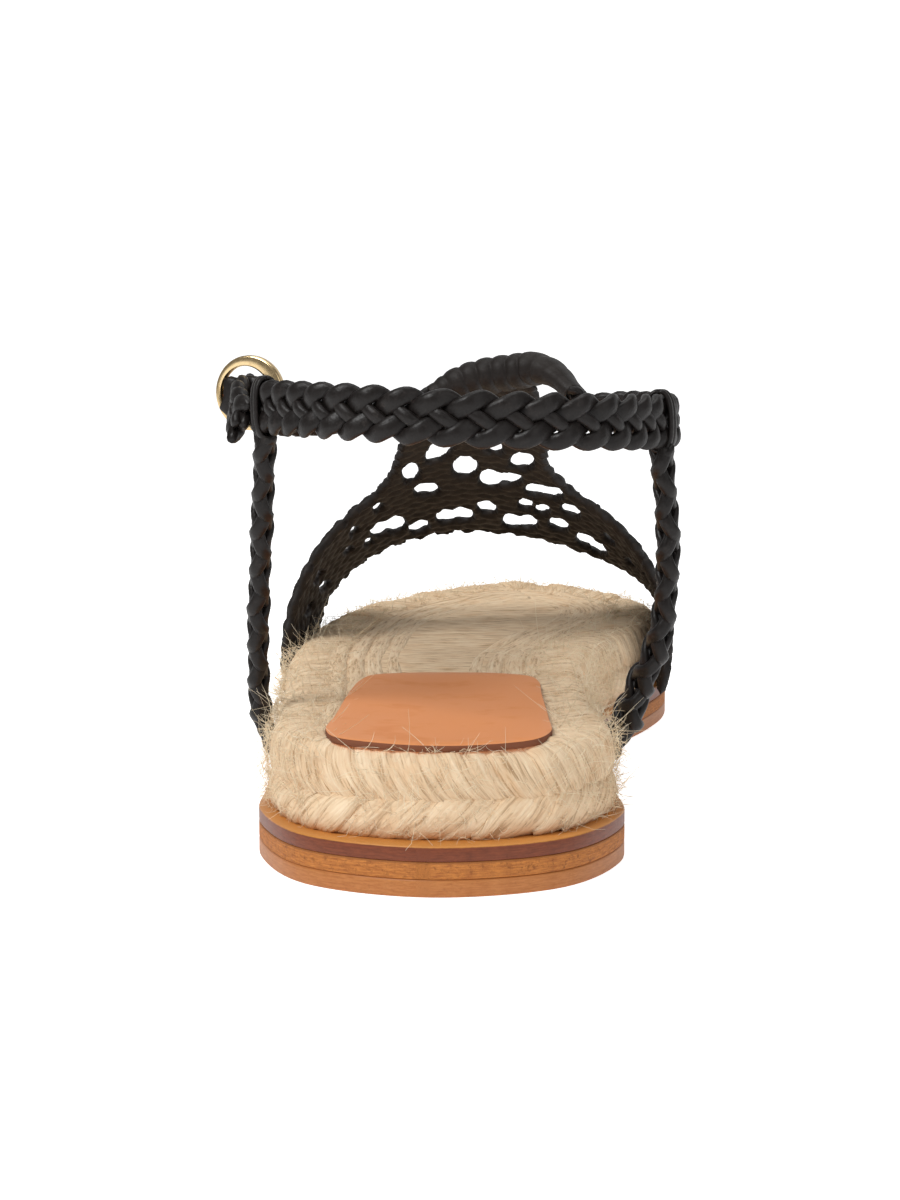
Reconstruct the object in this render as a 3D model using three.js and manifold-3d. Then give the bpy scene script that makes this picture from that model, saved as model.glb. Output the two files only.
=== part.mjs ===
// Left flat sandal: a stacked leather sole, a braided jute footbed with a leather heel pad, an openwork
// leather upper whose tongue folds over the ankle strap, two braided side straps and a round buckle.
// Millimetres, +Z up, toes towards +Y, big toe side towards +X. Origin: middle of the heel, on the floor.
import * as THREE from 'three';
import { mergeVertices } from 'three/addons/utils/BufferGeometryUtils.js';
import Module from 'manifold-3d';

const wasm = await Module();
wasm.setup();

// Sole sizes
const soleLength = 250;
const heelWidth = 69.5;
const ballWidth = 90;
const outsoleThickness = 3.2;
const middleThickness = 2.9;
const topThickness = 2.7;
const edgeRound = 0.5;
const archRise = 0.8;
const toeSpring = 2.2;
const pieceGap = 0.3;
const outlineSteps = 56;
const reachFineness = 8;

// Jute footbed sizes
const juteHeight = 16.1;
const sideRim = 2.9;
const heelRim = 5.2;
const heelRimSpan = 0.09;
const strandPitch = 5.5;
const strandDepth = 0.45;
const rowBulge = 0.8;

// Heel pad sizes
const padLength = 84;
const padWidth = 42;
const padThickness = 1;
const padSetback = 6.5;
const padCorner = 9;

// Upper sizes
const wall = 1.5;
const strandRaise = 0.5;
const instepHeight = 92;
const instepAt = 96;
const instepSlope = 0.47;
const archSeat = 22;
const weaveWidth = 5.1;
const weaveLength = 6.9;
const holeWidth = 6.8;
const holeLength = 9.4;
const edgeScallop = 0.7;
const tongueTopWidth = 22;
const tongueNeckWidth = 35;
const tongueSetback = 4;

// Ankle strap sizes
const strapWidth = 10.6;
const strapThickness = 3.7;
const strapHeight = 82.6;
const ringHalfWidth = 40.3;
const ringHalfLength = 44;
const ringCentreX = 3;
const ringCentreAt = 51;
const leafPitch = 7.3;
const leafRaise = 0.4;
const edgeWave = 0.5;
const foldRib = 0.35;
const foldRibPitch = 3.6;
const foldTurn = 177;
const foldCentreX = 5;
const foldWall = 1.6;
const foldEndWall = 0.8;

// Side strap sizes
const cordWidth = 6.8;
const cordThickness = 3.4;
const cordPitch = 5.2;
const cordRaise = 0.35;
const loopWall = 1;
const loopLength = 5;
const sleeveRoom = 0.7;
const lateralTurn = -64;
const medialTurn = 74;

// Buckle sizes
const buckleRadius = 7.3;
const buckleBand = 1.6;
const buckleDepth = 1.8;
const buckleRound = 0.48;
const ringSides = 28;
const rodSides = 10;
const barRadius = 0.7;
const barOffset = 3.6;
const prongRadius = 0.65;
const buckleX = -38.4;
const buckleAt = 50;
const buckleLift = 5.4;
const buckleTurn = 160;

const heelCentre = 0.125 * soleLength;
const stackTop = outsoleThickness + middleThickness + topThickness + 2 * pieceGap;
const juteBottom = stackTop + pieceGap;
const juteTop = juteBottom + juteHeight;

// Places given from the back of the heel, turned into the sandal's own frame.
const fromHeelBack = (distance) => distance - heelCentre;

// Outline of the leather sole. at: share of the sole's length from the heel back. lateral, medial: reach
// to each side of the heel's centre line, as shares of the width in the column of.
const outlineRows = [
  { at: 0.036, of: heelWidth, lateral: 0.337, medial: 0.337 },
  { at: 0.125, of: heelWidth, lateral: 0.5, medial: 0.495 },
  { at: 0.2, of: heelWidth, lateral: 0.52, medial: 0.482 },
  { at: 0.27, of: heelWidth, lateral: 0.538, medial: 0.443 },
  { at: 0.36, of: ballWidth, lateral: 0.437, medial: 0.325 },
  { at: 0.46, of: ballWidth, lateral: 0.464, medial: 0.318 },
  { at: 0.54, of: ballWidth, lateral: 0.472, medial: 0.343 },
  { at: 0.62, of: ballWidth, lateral: 0.473, medial: 0.388 },
  { at: 0.7, of: ballWidth, lateral: 0.459, medial: 0.46 },
  { at: 0.77, of: ballWidth, lateral: 0.43, medial: 0.505 },
  { at: 0.83, of: ballWidth, lateral: 0.375, medial: 0.51 },
  { at: 0.885, of: ballWidth, lateral: 0.3, medial: 0.47 },
  { at: 0.935, of: ballWidth, lateral: 0.2, medial: 0.375 },
  { at: 0.977, of: ballWidth, lateral: 0.075, medial: 0.24 },
];
const toeTipShare = 0.075;

// Places along the sole, as shares of its length
const archMiddle = 0.475;
const archSpan = 0.1;
const springStart = 0.72;

// Value of a column at a place, along straight lines between the rows.
function between(rows, column, at) {
  const next = rows.findIndex((row) => row.at >= at);
  if (next <= 0) {
    return next === 0 ? rows[0][column] : rows[rows.length - 1][column];
  }
  const low = rows[next - 1];
  const high = rows[next];
  return THREE.MathUtils.lerp(low[column], high[column], (at - low.at) / (high.at - low.at));
}

// Rise of the sole's underside above the floor: a low arch at the waist and the spring of the toe.
function undersideAt(y) {
  const at = THREE.MathUtils.clamp((y + heelCentre) / soleLength, 0, 1);
  const fromArch = Math.min(Math.abs(at - archMiddle) / archSpan, 1);
  const pastBall = Math.max(at - springStart, 0) / (1 - springStart);
  return archRise * (1 - fromArch ** 2) ** 2 + toeSpring * pastBall ** 2;
}

// A closed body from points and triangles, its faces turned outwards.
function closedBody(points, triangles) {
  let volume = 0;
  for (const [a, b, c] of triangles) {
    volume += points[a].dot(points[b].clone().cross(points[c]));
  }
  const turned = volume < 0 ? triangles.map(([a, b, c]) => [a, c, b]) : triangles;
  const geometry = new THREE.BufferGeometry().setFromPoints(points);
  geometry.setIndex(turned.flat());
  return geometry;
}

// A body through rings of equal count. Each end is closed by faces across from side to side.
function stackOfRings(rings) {
  const count = rings[0].length;
  const points = rings.flat();
  const triangles = [];
  for (let level = 0; level < rings.length - 1; level += 1) {
    for (let step = 0; step < count; step += 1) {
      const next = (step + 1) % count;
      const low = level * count;
      const high = low + count;
      triangles.push([low + step, low + next, high + next], [low + step, high + next, high + step]);
    }
  }
  const last = (rings.length - 1) * count;
  for (let step = 0; step < count / 2; step += 1) {
    const near = (count - step) % count;
    const far = count - step - 1;
    if (near !== step) {
      triangles.push([step, near, far], [last + step, last + far, last + near]);
    }
    if (far !== step + 1) {
      triangles.push([step, far, step + 1], [last + step, last + step + 1, last + far]);
    }
  }
  return closedBody(points, triangles);
}

function toSolid(geometry) {
  const plain = geometry.clone();
  plain.deleteAttribute('normal');
  plain.deleteAttribute('uv');
  const merged = mergeVertices(plain, 1e-4);
  const vertProperties = new Float32Array(merged.getAttribute('position').array);
  const triVerts = new Uint32Array(merged.getIndex().array);
  return new wasm.Manifold(new wasm.Mesh({ numProp: 3, vertProperties, triVerts }));
}

function toGeometry(solid) {
  const mesh = solid.getMesh();
  const geometry = new THREE.BufferGeometry();
  geometry.setAttribute('position', new THREE.BufferAttribute(new Float32Array(mesh.vertProperties), 3));
  geometry.setIndex(new THREE.BufferAttribute(new Uint32Array(mesh.triVerts), 1));
  return geometry;
}

function part(name, geometry, color, roughness, metalness = 0) {
  const shaded = geometry.clone();
  shaded.computeVertexNormals();
  const mesh = new THREE.Mesh(shaded, new THREE.MeshStandardMaterial({ color, roughness, metalness }));
  mesh.name = name;
  return mesh;
}

// Outline of the leather sole

function soleOutline() {
  const place = (row, reach) => new THREE.Vector3(reach * row.of, fromHeelBack(row.at * soleLength), 0);
  const medial = outlineRows.map((row) => place(row, row.medial));
  const lateral = outlineRows.map((row) => place(row, -row.lateral));
  const heel = new THREE.Vector3(0, fromHeelBack(0), 0);
  const toe = new THREE.Vector3(toeTipShare * ballWidth, fromHeelBack(soleLength), 0);
  return new THREE.CatmullRomCurve3([heel, ...medial, toe, ...lateral.reverse()], true, 'centripetal');
}

const outline = soleOutline();

// A point of the outline moved inwards, lifted onto the sole's curve.
function outlinePoint(share, inset, height) {
  const turn = ((share % 1) + 1) % 1;
  const point = outline.getPointAt(turn);
  const tangent = outline.getTangentAt(turn);
  const x = point.x - tangent.y * inset;
  const y = point.y + tangent.x * inset;
  return new THREE.Vector3(x, y, height + undersideAt(y));
}

// Reach of the leather outline to one side at a place along the sole.
function soleReach(y, side) {
  const points = outline.getSpacedPoints(outlineSteps * reachFineness);
  const onSide = points.filter((point) => Math.sign(point.x) === side);
  const away = (point) => Math.abs(point.y - y);
  const nearest = onSide.reduce((best, point) => (away(point) < away(best) ? point : best));
  return Math.abs(nearest.x);
}

function soleLayer(bottom, thickness) {
  const levels = [
    { inset: edgeRound, height: bottom },
    { inset: 0, height: bottom + edgeRound },
    { inset: 0, height: bottom + thickness - edgeRound },
    { inset: edgeRound, height: bottom + thickness },
  ];
  return stackOfRings(levels.map(({ inset, height }) => Array.from(
    { length: outlineSteps },
    (_, step) => outlinePoint(step / outlineSteps, inset, height),
  )));
}

// Jute footbed

// How far the jute stands in from the leather edge: most behind the heel, least along the sides. The heel
// rim fades over its span, a share of the outline on each side.
function rimAt(share) {
  const fromHeel = Math.min(share, 1 - share);
  const behind = THREE.MathUtils.smoothstep(fromHeel, 0, heelRimSpan);
  return THREE.MathUtils.lerp(heelRim, sideRim, behind);
}

// Two rows of wrapped strands. height: share of the jute's height. bulge: share of the row bulge.
// rib: share of the strand depth. slant: shift along the edge as a share of the strand pitch.
const juteRows = [
  { height: 0, bulge: -1.2, rib: 0, slant: 0 },
  { height: 0.2, bulge: 1, rib: 1, slant: 0.35 },
  { height: 0.4, bulge: 0.6, rib: 1, slant: 0.9 },
  { height: 0.52, bulge: -0.6, rib: 0.6, slant: 1.1 },
  { height: 0.8, bulge: 1, rib: 1, slant: 0.5 },
  { height: 1, bulge: -1, rib: 0, slant: 0 },
];

function juteFootbed() {
  const strands = Math.round(outline.getLength() / strandPitch);
  const count = strands * 2;
  const rings = juteRows.map((row) => Array.from({ length: count }, (_, step) => {
    const share = (step / 2 + row.slant) / strands;
    const rib = (step % 2 === 0 ? 1 : -1) * strandDepth * row.rib;
    const inset = rimAt(((share % 1) + 1) % 1) - row.bulge * rowBulge - rib;
    return outlinePoint(share, inset, juteBottom + row.height * juteHeight);
  }));
  return stackOfRings(rings);
}

// Heel pad, a flat leather sheet whose rear edge follows the heel

// Its edge, from the rear round the medial side. across: share of half the width. inset: distance back
// from there as a share of the corner. along: distance from the rear or front end as a share of the
// corner. pull: a point that only draws the curve towards it.
const padEdge = [
  { across: -0.4, inset: 0, end: 'rear', along: 0.1 },
  { across: 0, inset: 0, end: 'rear', along: -0.08, pull: true },
  { across: 0.4, inset: 0, end: 'rear', along: 0.1 },
  { across: 1, inset: 0, end: 'rear', along: 0.5, pull: true },
  { across: 1, inset: 0, end: 'rear', along: 2 },
  { across: 0.82, inset: 0, end: 'front', along: -1 },
  { across: 0.8, inset: 0, end: 'front', along: 0, pull: true },
  { across: 0.8, inset: 1, end: 'front', along: 0 },
  { across: -0.94, inset: 1, end: 'front', along: 0 },
  { across: -0.96, inset: 0, end: 'front', along: 0, pull: true },
  { across: -1, inset: 0, end: 'front', along: -1 },
  { across: -1, inset: 0, end: 'rear', along: 2 },
  { across: -1, inset: 0, end: 'rear', along: 0.5, pull: true },
  { across: -0.4, inset: 0, end: 'rear', along: 0.1 },
];
const padCurveSteps = 6;

function heelPad() {
  const rear = fromHeelBack(padSetback);
  const ends = { rear, front: rear + padLength };
  const points = padEdge.map(({ across, inset, end, along }) => new THREE.Vector2(
    (across * padWidth) / 2 - Math.sign(across) * inset * padCorner,
    ends[end] + along * padCorner,
  ));
  const shape = new THREE.Shape();
  shape.moveTo(points[0].x, points[0].y);
  for (let step = 1; step < padEdge.length; step += 1) {
    const before = points[step - 1];
    if (padEdge[step - 1].pull) {
      shape.quadraticCurveTo(before.x, before.y, points[step].x, points[step].y);
    } else if (!padEdge[step].pull) {
      shape.lineTo(points[step].x, points[step].y);
    }
  }
  const sheet = new THREE.ExtrudeGeometry(shape, {
    depth: padThickness,
    bevelEnabled: false,
    curveSegments: padCurveSteps,
  });
  return sheet.translate(0, 0, juteTop + pieceGap);
}

// Openwork upper

// Height of the upper's crown line at a place along the sandal.
function crownAt(y) {
  return instepHeight - instepSlope * (y + heelCentre - instepAt);
}

// The band over the forefoot. at: 0 at its rear edge, 1 at its toe edge. centre, lateral, medial: places
// of that line from the heel back on the crown and at each foot, as shares of the sole's length. left,
// right: reach of the arch to the lateral and medial side, as shares of the ball width.
const bandRows = [
  { at: 0, centre: 0.604, lateral: 0.555, medial: 0.665, left: 0.477, right: 0.51 },
  { at: 0.5, centre: 0.686, lateral: 0.66, medial: 0.747, left: 0.474, right: 0.512 },
  { at: 1, centre: 0.768, lateral: 0.765, medial: 0.832, left: 0.454, right: 0.512 },
];
const bandCells = 6;
const archColumns = 28;
const footColumns = 3;
const footSpread = 2.6;
const footBend = 1.5;
const lastColumn = archColumns + 2 * footColumns;
const footClearance = wall / 2 + 2 * pieceGap - sideRim + rowBulge + strandDepth;

// How far a column lies down the foot of the band: 0 on the arch, 1 at the leather sole.
function footDepth(column) {
  return Math.max(footColumns - column, column - (lastColumn - footColumns), 0) / footColumns;
}

// A point of the band's middle surface. Columns run from the lateral foot over the arch to the medial one.
function bandPoint(along, column) {
  const overArch = THREE.MathUtils.clamp((column - footColumns) / archColumns, 0, 1);
  const angle = Math.PI * (1 - overArch);
  const side = overArch < 0.5 ? -1 : 1;
  const centre = fromHeelBack(between(bandRows, 'centre', along) * soleLength);
  const foot = fromHeelBack(between(bandRows, side < 0 ? 'lateral' : 'medial', along) * soleLength);
  const y = THREE.MathUtils.lerp(centre, foot, Math.abs(Math.cos(angle)) ** footSpread);
  const reach = between(bandRows, side < 0 ? 'left' : 'right', along) * ballWidth;
  const archX = side * reach * Math.abs(Math.cos(angle));
  const archZ = archSeat + (crownAt(centre) - archSeat) * Math.sin(angle);
  const down = footDepth(column);
  const footX = side * (soleReach(y, side) + footClearance);
  const footZ = juteBottom + undersideAt(y);
  return new THREE.Vector3(
    THREE.MathUtils.lerp(archX, footX, down ** footBend),
    y,
    THREE.MathUtils.lerp(archZ, footZ, down),
  );
}

// The tongue, from the band's rear edge up the instep to the fold. at: share of the way up. width: full
// width. place: distance from the heel back. middle: sideways place of its centre line.
const tongueRows = [
  { at: 0, width: tongueNeckWidth * 1.3, place: 0.622 * soleLength, middle: 0.5 },
  { at: 0.16, width: tongueNeckWidth, place: 0.575 * soleLength, middle: 0.8 },
  { at: 0.5, width: (tongueNeckWidth + tongueTopWidth) * 0.55, place: 0.5 * soleLength, middle: 2.4 },
  { at: 1, width: tongueTopWidth, place: instepAt + tongueSetback, middle: foldCentreX },
];
const tongueCells = 7;
const tongueColumns = 6;

function tonguePoint(along, across) {
  const y = fromHeelBack(between(tongueRows, 'place', along));
  const x = between(tongueRows, 'middle', along) + between(tongueRows, 'width', along) * across;
  const reach = bandRows[0][x < 0 ? 'left' : 'right'] * ballWidth;
  const drop = Math.sqrt(1 - (x / reach) ** 2);
  return new THREE.Vector3(x, y, archSeat + (crownAt(y) - archSeat) * drop);
}

// Surface direction out of a grid of points at one of its nodes.
function gridNormal(grid, row, column) {
  const rows = grid.length - 1;
  const columns = grid[0].length - 1;
  const across = grid[row][Math.min(column + 1, columns)].clone().sub(grid[row][Math.max(column - 1, 0)]);
  const along = grid[Math.min(row + 1, rows)][column].clone().sub(grid[Math.max(row - 1, 0)][column]);
  return across.cross(along).normalize();
}

// A wall of even thickness on a grid of nodes. Strands cross at every other node, where the wall is raised,
// and the nodes between them are open where isOpen says so.
function wovenWall(grid, isOpen) {
  const rows = grid.length - 1;
  const columns = grid[0].length - 1;
  const points = [];
  const triangles = [];
  const index = new Map();
  const halfHole = { across: holeWidth / 2 / weaveWidth, along: holeLength / 2 / weaveLength };

  // Two points, one on each face of the wall, at a node or part of the way to its neighbours.
  const pair = (row, column, toRow, toColumn) => {
    const key = [row, column, toRow, toColumn].join();
    if (!index.has(key)) {
      const shareRow = Math.abs(toRow) * halfHole.along * (toColumn ? Math.SQRT1_2 : 1);
      const shareColumn = Math.abs(toColumn) * halfHole.across * (toRow ? Math.SQRT1_2 : 1);
      const base = grid[row][column];
      const point = base.clone();
      if (toRow) {
        point.addScaledVector(grid[row + toRow][column].clone().sub(base), shareRow);
      }
      if (toColumn) {
        point.addScaledVector(grid[row][column + toColumn].clone().sub(base), shareColumn);
      }
      const out = gridNormal(grid, row, column);
      const raised = (row + column) % 2 === 0 ? strandRaise : 0;
      points.push(point.clone().addScaledVector(out, wall / 2 + raised));
      points.push(point.clone().addScaledVector(out, -wall / 2));
      index.set(key, points.length - 2);
    }
    return index.get(key);
  };
  const face = (a, b, c) => triangles.push([a, b, c], [a + 1, c + 1, b + 1]);
  const edge = (a, b) => triangles.push([a, b + 1, b], [a, a + 1, b + 1]);

  for (let row = 0; row < rows; row += 1) {
    for (let column = 0; column < columns; column += 1) {
      const corners = [[row, column], [row, column + 1], [row + 1, column + 1], [row + 1, column]];
      const raisedFirst = (row + column) % 2 === 0 ? corners : [...corners.slice(1), corners[0]];
      const [first, low, second, otherLow] = raisedFirst;
      for (const [from, middle, to] of [[first, low, second], [second, otherLow, first]]) {
        const a = pair(...from, 0, 0);
        const c = pair(...to, 0, 0);
        if (!isOpen(...middle)) {
          face(a, pair(...middle, 0, 0), c);
          continue;
        }
        const before = pair(...middle, from[0] - middle[0], from[1] - middle[1]);
        const after = pair(...middle, to[0] - middle[0], to[1] - middle[1]);
        const inner = pair(...middle, from[0] + to[0] - 2 * middle[0], from[1] + to[1] - 2 * middle[1]);
        face(a, before, inner);
        face(inner, after, c);
        face(a, inner, c);
        edge(before, inner);
        edge(inner, after);
      }
    }
  }
  const rim = [
    ...Array.from({ length: columns }, (_, step) => [0, step]),
    ...Array.from({ length: rows }, (_, step) => [step, columns]),
    ...Array.from({ length: columns }, (_, step) => [rows, columns - step]),
    ...Array.from({ length: rows }, (_, step) => [rows - step, 0]),
  ];
  rim.forEach((node, step) => {
    edge(pair(...node, 0, 0), pair(...rim[(step + 1) % rim.length], 0, 0));
  });
  return closedBody(points, triangles);
}

// Places of the band's weave that stay closed. row: row of nodes from the rear edge. columns: nodes
// counted from the lateral foot.
const closedRows = [
  { row: 2, columns: [14] },
  { row: 3, columns: [16, 18] },
  { row: 4, columns: [17] },
];

function bandOpen(row, column) {
  const inside = row > 0 && row < bandCells && column > 1 && column < lastColumn - 1;
  const closed = closedRows.some((item) => item.row === row && item.columns.includes(column));
  return inside && (row + column) % 2 === 1 && !closed;
}

const openTongueRows = 4;

function tongueOpen(row, column) {
  const inside = row > 0 && row < openTongueRows && column > 0 && column < tongueColumns;
  return inside && (row + column) % 2 === 1;
}

// The band's front and rear edges and the tongue's sides run in and out where the strands turn back.
function forefootBand() {
  const grid = Array.from({ length: bandCells + 1 }, (_, row) => Array.from(
    { length: lastColumn + 1 },
    (__, column) => {
      const point = bandPoint(row / bandCells, column);
      const onEdge = row === 0 ? -1 : Number(row === bandCells);
      point.y += onEdge * ((row + column) % 2 === 0 ? edgeScallop : -edgeScallop);
      return point;
    },
  ));
  return toSolid(wovenWall(grid, bandOpen));
}

function tongue() {
  const grid = Array.from({ length: tongueCells + 1 }, (_, row) => Array.from(
    { length: tongueColumns + 1 },
    (__, column) => {
      const point = tonguePoint(row / tongueCells, 0.5 - column / tongueColumns);
      const onEdge = column === 0 ? 1 : -Number(column === tongueColumns);
      point.x += onEdge * ((row + column) % 2 === 0 ? edgeScallop : -edgeScallop);
      return point;
    },
  ));
  return toSolid(wovenWall(grid, tongueOpen));
}

// Ankle strap

// Way of the strap around the ankle. turn: degrees from the back of the ring towards the medial side.
// out: distance outside the ring, and lift: height above the strap's height, both as shares of the
// strap's width. lean: degrees that the strap's face turns up. width: share of the strap's width, less
// where the buckle squeezes it.
const strapRows = [
  { turn: -84, out: -0.17, lift: 0.245, lean: 0, width: 0.85 },
  { turn: -75, out: -0.057, lift: 0.274, lean: 0, width: 0.95 },
  { turn: -58, out: 0, lift: 0.349, lean: 0, width: 1 },
  { turn: -30, out: 0, lift: 0.368, lean: 0, width: 1 },
  { turn: 0, out: 0, lift: 0.292, lean: 0, width: 1 },
  { turn: 40, out: 0, lift: 0.179, lean: 0, width: 1 },
  { turn: 90, out: 0, lift: 0.028, lean: 4, width: 1 },
  { turn: 122, out: -0.038, lift: 0, lean: 24, width: 1 },
  { turn: 135, out: -0.047, lift: 0, lean: 44, width: 1 },
  { turn: 142, out: -0.047, lift: 0.057, lean: 58, width: 1 },
  { turn: 148, out: -0.038, lift: 0.321, lean: 70, width: 1 },
  { turn: 154, out: -0.019, lift: 0.651, lean: 80, width: 1 },
  { turn: 160, out: 0, lift: 0.802, lean: 85, width: 1 },
  { turn: 167, out: 0, lift: 0.745, lean: 84, width: 1 },
  { turn: 177, out: 0, lift: 0.623, lean: 78, width: 1 },
  { turn: 184, out: 0, lift: 0.434, lean: 70, width: 1 },
  { turn: 190, out: 0, lift: 0.208, lean: 60, width: 1 },
  { turn: 197, out: -0.019, lift: 0.057, lean: 52, width: 1 },
  { turn: 206, out: -0.038, lift: 0, lean: 40, width: 1 },
  { turn: 220, out: -0.038, lift: 0, lean: 28, width: 1 },
  { turn: 245, out: 0.019, lift: 0.075, lean: 8, width: 1 },
  { turn: 258, out: 0.075, lift: 0.283, lean: 0, width: 0.85 },
  { turn: 270, out: 0.16, lift: 0.462, lean: 0, width: 0.72 },
  { turn: 280, out: 0.245, lift: 0.34, lean: 8, width: 0.88 },
  { turn: 290, out: 0.245, lift: 0.151, lean: 18, width: 1 },
];

function strapMiddle(row) {
  const angle = THREE.MathUtils.degToRad(row.turn);
  const out = row.out * strapWidth;
  return new THREE.Vector3(
    ringCentreX + (ringHalfWidth + out) * Math.sin(angle),
    fromHeelBack(ringCentreAt) - (ringHalfLength + out) * Math.cos(angle),
    strapHeight + row.lift * strapWidth,
  );
}

const strapLine = new THREE.CatmullRomCurve3(strapRows.map(strapMiddle), false, 'centripetal');

// The strap's own directions at a share of its length: along it, out of its face, and up its width.
function strapFrame(share) {
  const raw = strapLine.getUtoTmapping(share);
  const along = strapLine.getTangentAt(share).normalize();
  const level = new THREE.Vector3(along.y, -along.x, 0).normalize();
  const step = raw * (strapRows.length - 1);
  const number = Math.min(Math.floor(step), strapRows.length - 2);
  const low = strapRows[number];
  const high = strapRows[number + 1];
  const blend = (column) => THREE.MathUtils.lerp(low[column], high[column], step - number);
  const lean = THREE.MathUtils.degToRad(blend('lean'));
  const out = level.multiplyScalar(Math.cos(lean)).add(new THREE.Vector3(0, 0, Math.sin(lean)));
  const up = out.clone().cross(along).normalize();
  return {
    centre: strapLine.getPointAt(share),
    out: along.clone().cross(up).normalize(),
    up,
    width: blend('width') * strapWidth,
  };
}

// A flat braid's outline in its own width and thickness. reach: share of half the width. depth: share of
// half the thickness. leaf: 1 on the row of leaves that rises at even steps, -1 on the other. rim: 1 on
// the upper edge, -1 on the lower.
const braidSection = [
  { reach: 1, depth: 0, leaf: 0, rim: 1 },
  { reach: 0.62, depth: 0.85, leaf: 1, rim: 0 },
  { reach: 0, depth: 0.8, leaf: 0, rim: 0 },
  { reach: -0.62, depth: 0.85, leaf: -1, rim: 0 },
  { reach: -1, depth: 0, leaf: 0, rim: -1 },
  { reach: -0.62, depth: -0.85, leaf: -1, rim: 0 },
  { reach: 0, depth: -0.8, leaf: 0, rim: 0 },
  { reach: 0.62, depth: -0.85, leaf: 1, rim: 0 },
];

// One ring of a flat braid.
function braidRing(frame, thickness, raise, wave, step) {
  const beat = step % 2 === 0 ? 1 : -1;
  return braidSection.map(({ reach, depth, leaf, rim }) => {
    const across = (reach * frame.width) / 2 - rim * wave * (1 - rim * beat);
    const out = (depth * thickness) / 2 + Math.sign(depth) * leaf * beat * raise;
    return frame.centre.clone().addScaledVector(frame.up, across).addScaledVector(frame.out, out);
  });
}

function ankleStrap() {
  const steps = 2 * Math.round(strapLine.getLength() / leafPitch);
  const rings = Array.from({ length: steps + 1 }, (_, step) => braidRing(
    strapFrame(step / steps), strapThickness, leafRaise, edgeWave, step,
  ));
  return stackOfRings(rings);
}

// Share of the strap's length at a turn around the ankle.
const turnSteps = 600;

function shareAtTurn(turn) {
  const rows = strapRows.map((row, step) => ({ at: row.turn, raw: step / (strapRows.length - 1) }));
  const lengths = strapLine.getLengths(turnSteps);
  return lengths[Math.round(between(rows, 'raw', turn) * turnSteps)] / lengths[turnSteps];
}

// A ring of points around the strap, grown from its width and thickness.
const sleeveCorners = 12;

function sleeveRing(frame, grow) {
  return Array.from({ length: sleeveCorners }, (_, step) => {
    const angle = (2 * Math.PI * step) / sleeveCorners;
    const rounded = (value) => Math.sign(value) * Math.sqrt(Math.abs(value));
    return frame.centre.clone()
      .addScaledVector(frame.up, rounded(Math.cos(angle)) * (frame.width / 2 + grow))
      .addScaledVector(frame.out, rounded(Math.sin(angle)) * (strapThickness / 2 + grow));
  });
}

// A sleeve that follows the strap: open at both ends, thinner towards them, with its wall raised in ribs
// at every other step.
function sleeve({ turn, length, steps, thickness, endThickness, rib }) {
  const middle = shareAtTurn(turn);
  const span = length / strapLine.getLength();
  const frames = Array.from({ length: steps + 1 }, (_, step) => strapFrame(
    middle + span * (step / steps - 0.5),
  ));
  const outer = frames.map((frame, step) => {
    const toEnd = Math.abs((2 * step) / steps - 1) ** 2;
    const grown = THREE.MathUtils.lerp(thickness, endThickness, toEnd) + (step % 2 ? rib : 0);
    return sleeveRing(frame, sleeveRoom + grown);
  });
  const inner = frames.map((frame) => sleeveRing(frame, sleeveRoom));
  const skins = [...outer, ...inner.reverse()];
  const points = skins.flat();
  const triangles = [];
  skins.forEach((_, level) => {
    const low = level * sleeveCorners;
    const high = ((level + 1) % skins.length) * sleeveCorners;
    for (let step = 0; step < sleeveCorners; step += 1) {
      const next = (step + 1) % sleeveCorners;
      triangles.push([low + step, low + next, high + next], [low + step, high + next, high + step]);
    }
  });
  return toSolid(closedBody(points, triangles));
}

function upper() {
  const fold = sleeve({
    turn: foldTurn,
    length: tongueTopWidth,
    steps: 2 * Math.round(tongueTopWidth / foldRibPitch / 2),
    thickness: foldWall,
    endThickness: foldEndWall,
    rib: foldRib,
  });
  return forefootBand().add(tongue()).add(fold);
}

// Side straps

// Way of a side strap from the ankle strap down to the groove between the jute's rows. at: share of the
// way down. place: distance from the heel back, and reach: distance from the heel's centre line, both as
// shares of the heel width.
const lateralRows = [
  { at: 0.3, place: 0.59, reach: 0.508 },
  { at: 0.66, place: 0.735, reach: 0.54 },
  { at: 0.9, place: 0.86, reach: 0.545 },
];
const medialRows = [
  { at: 0.32, place: 0.645, reach: 0.617 },
  { at: 0.6, place: 0.715, reach: 0.598 },
  { at: 0.76, place: 0.79, reach: 0.547 },
  { at: 0.93, place: 0.875, reach: 0.49 },
];
const footPlace = 0.91;
const lateralSeat = 0.2;
const medialSeat = 0.4;
const footShare = 0.36;

function sideStrapLine({ rows, side, turn, seat }) {
  const frame = strapFrame(shareAtTurn(turn));
  const top = frame.centre.clone().addScaledVector(frame.up, -strapWidth / 2 - sleeveRoom - loopWall / 2);
  const y = fromHeelBack(footPlace * heelWidth);
  const bottom = juteBottom + footShare * juteHeight;
  const jute = soleReach(y, side) - sideRim + strandDepth - seat;
  const reach = jute + pieceGap + cordThickness / 2 + cordRaise;
  const points = rows.map((row) => new THREE.Vector3(
    side * row.reach * heelWidth,
    fromHeelBack(row.place * heelWidth),
    THREE.MathUtils.lerp(top.z, bottom, row.at),
  ));
  points.push(new THREE.Vector3(side * reach, y, bottom));
  return new THREE.CatmullRomCurve3([top, ...points], false, 'centripetal');
}

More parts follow.
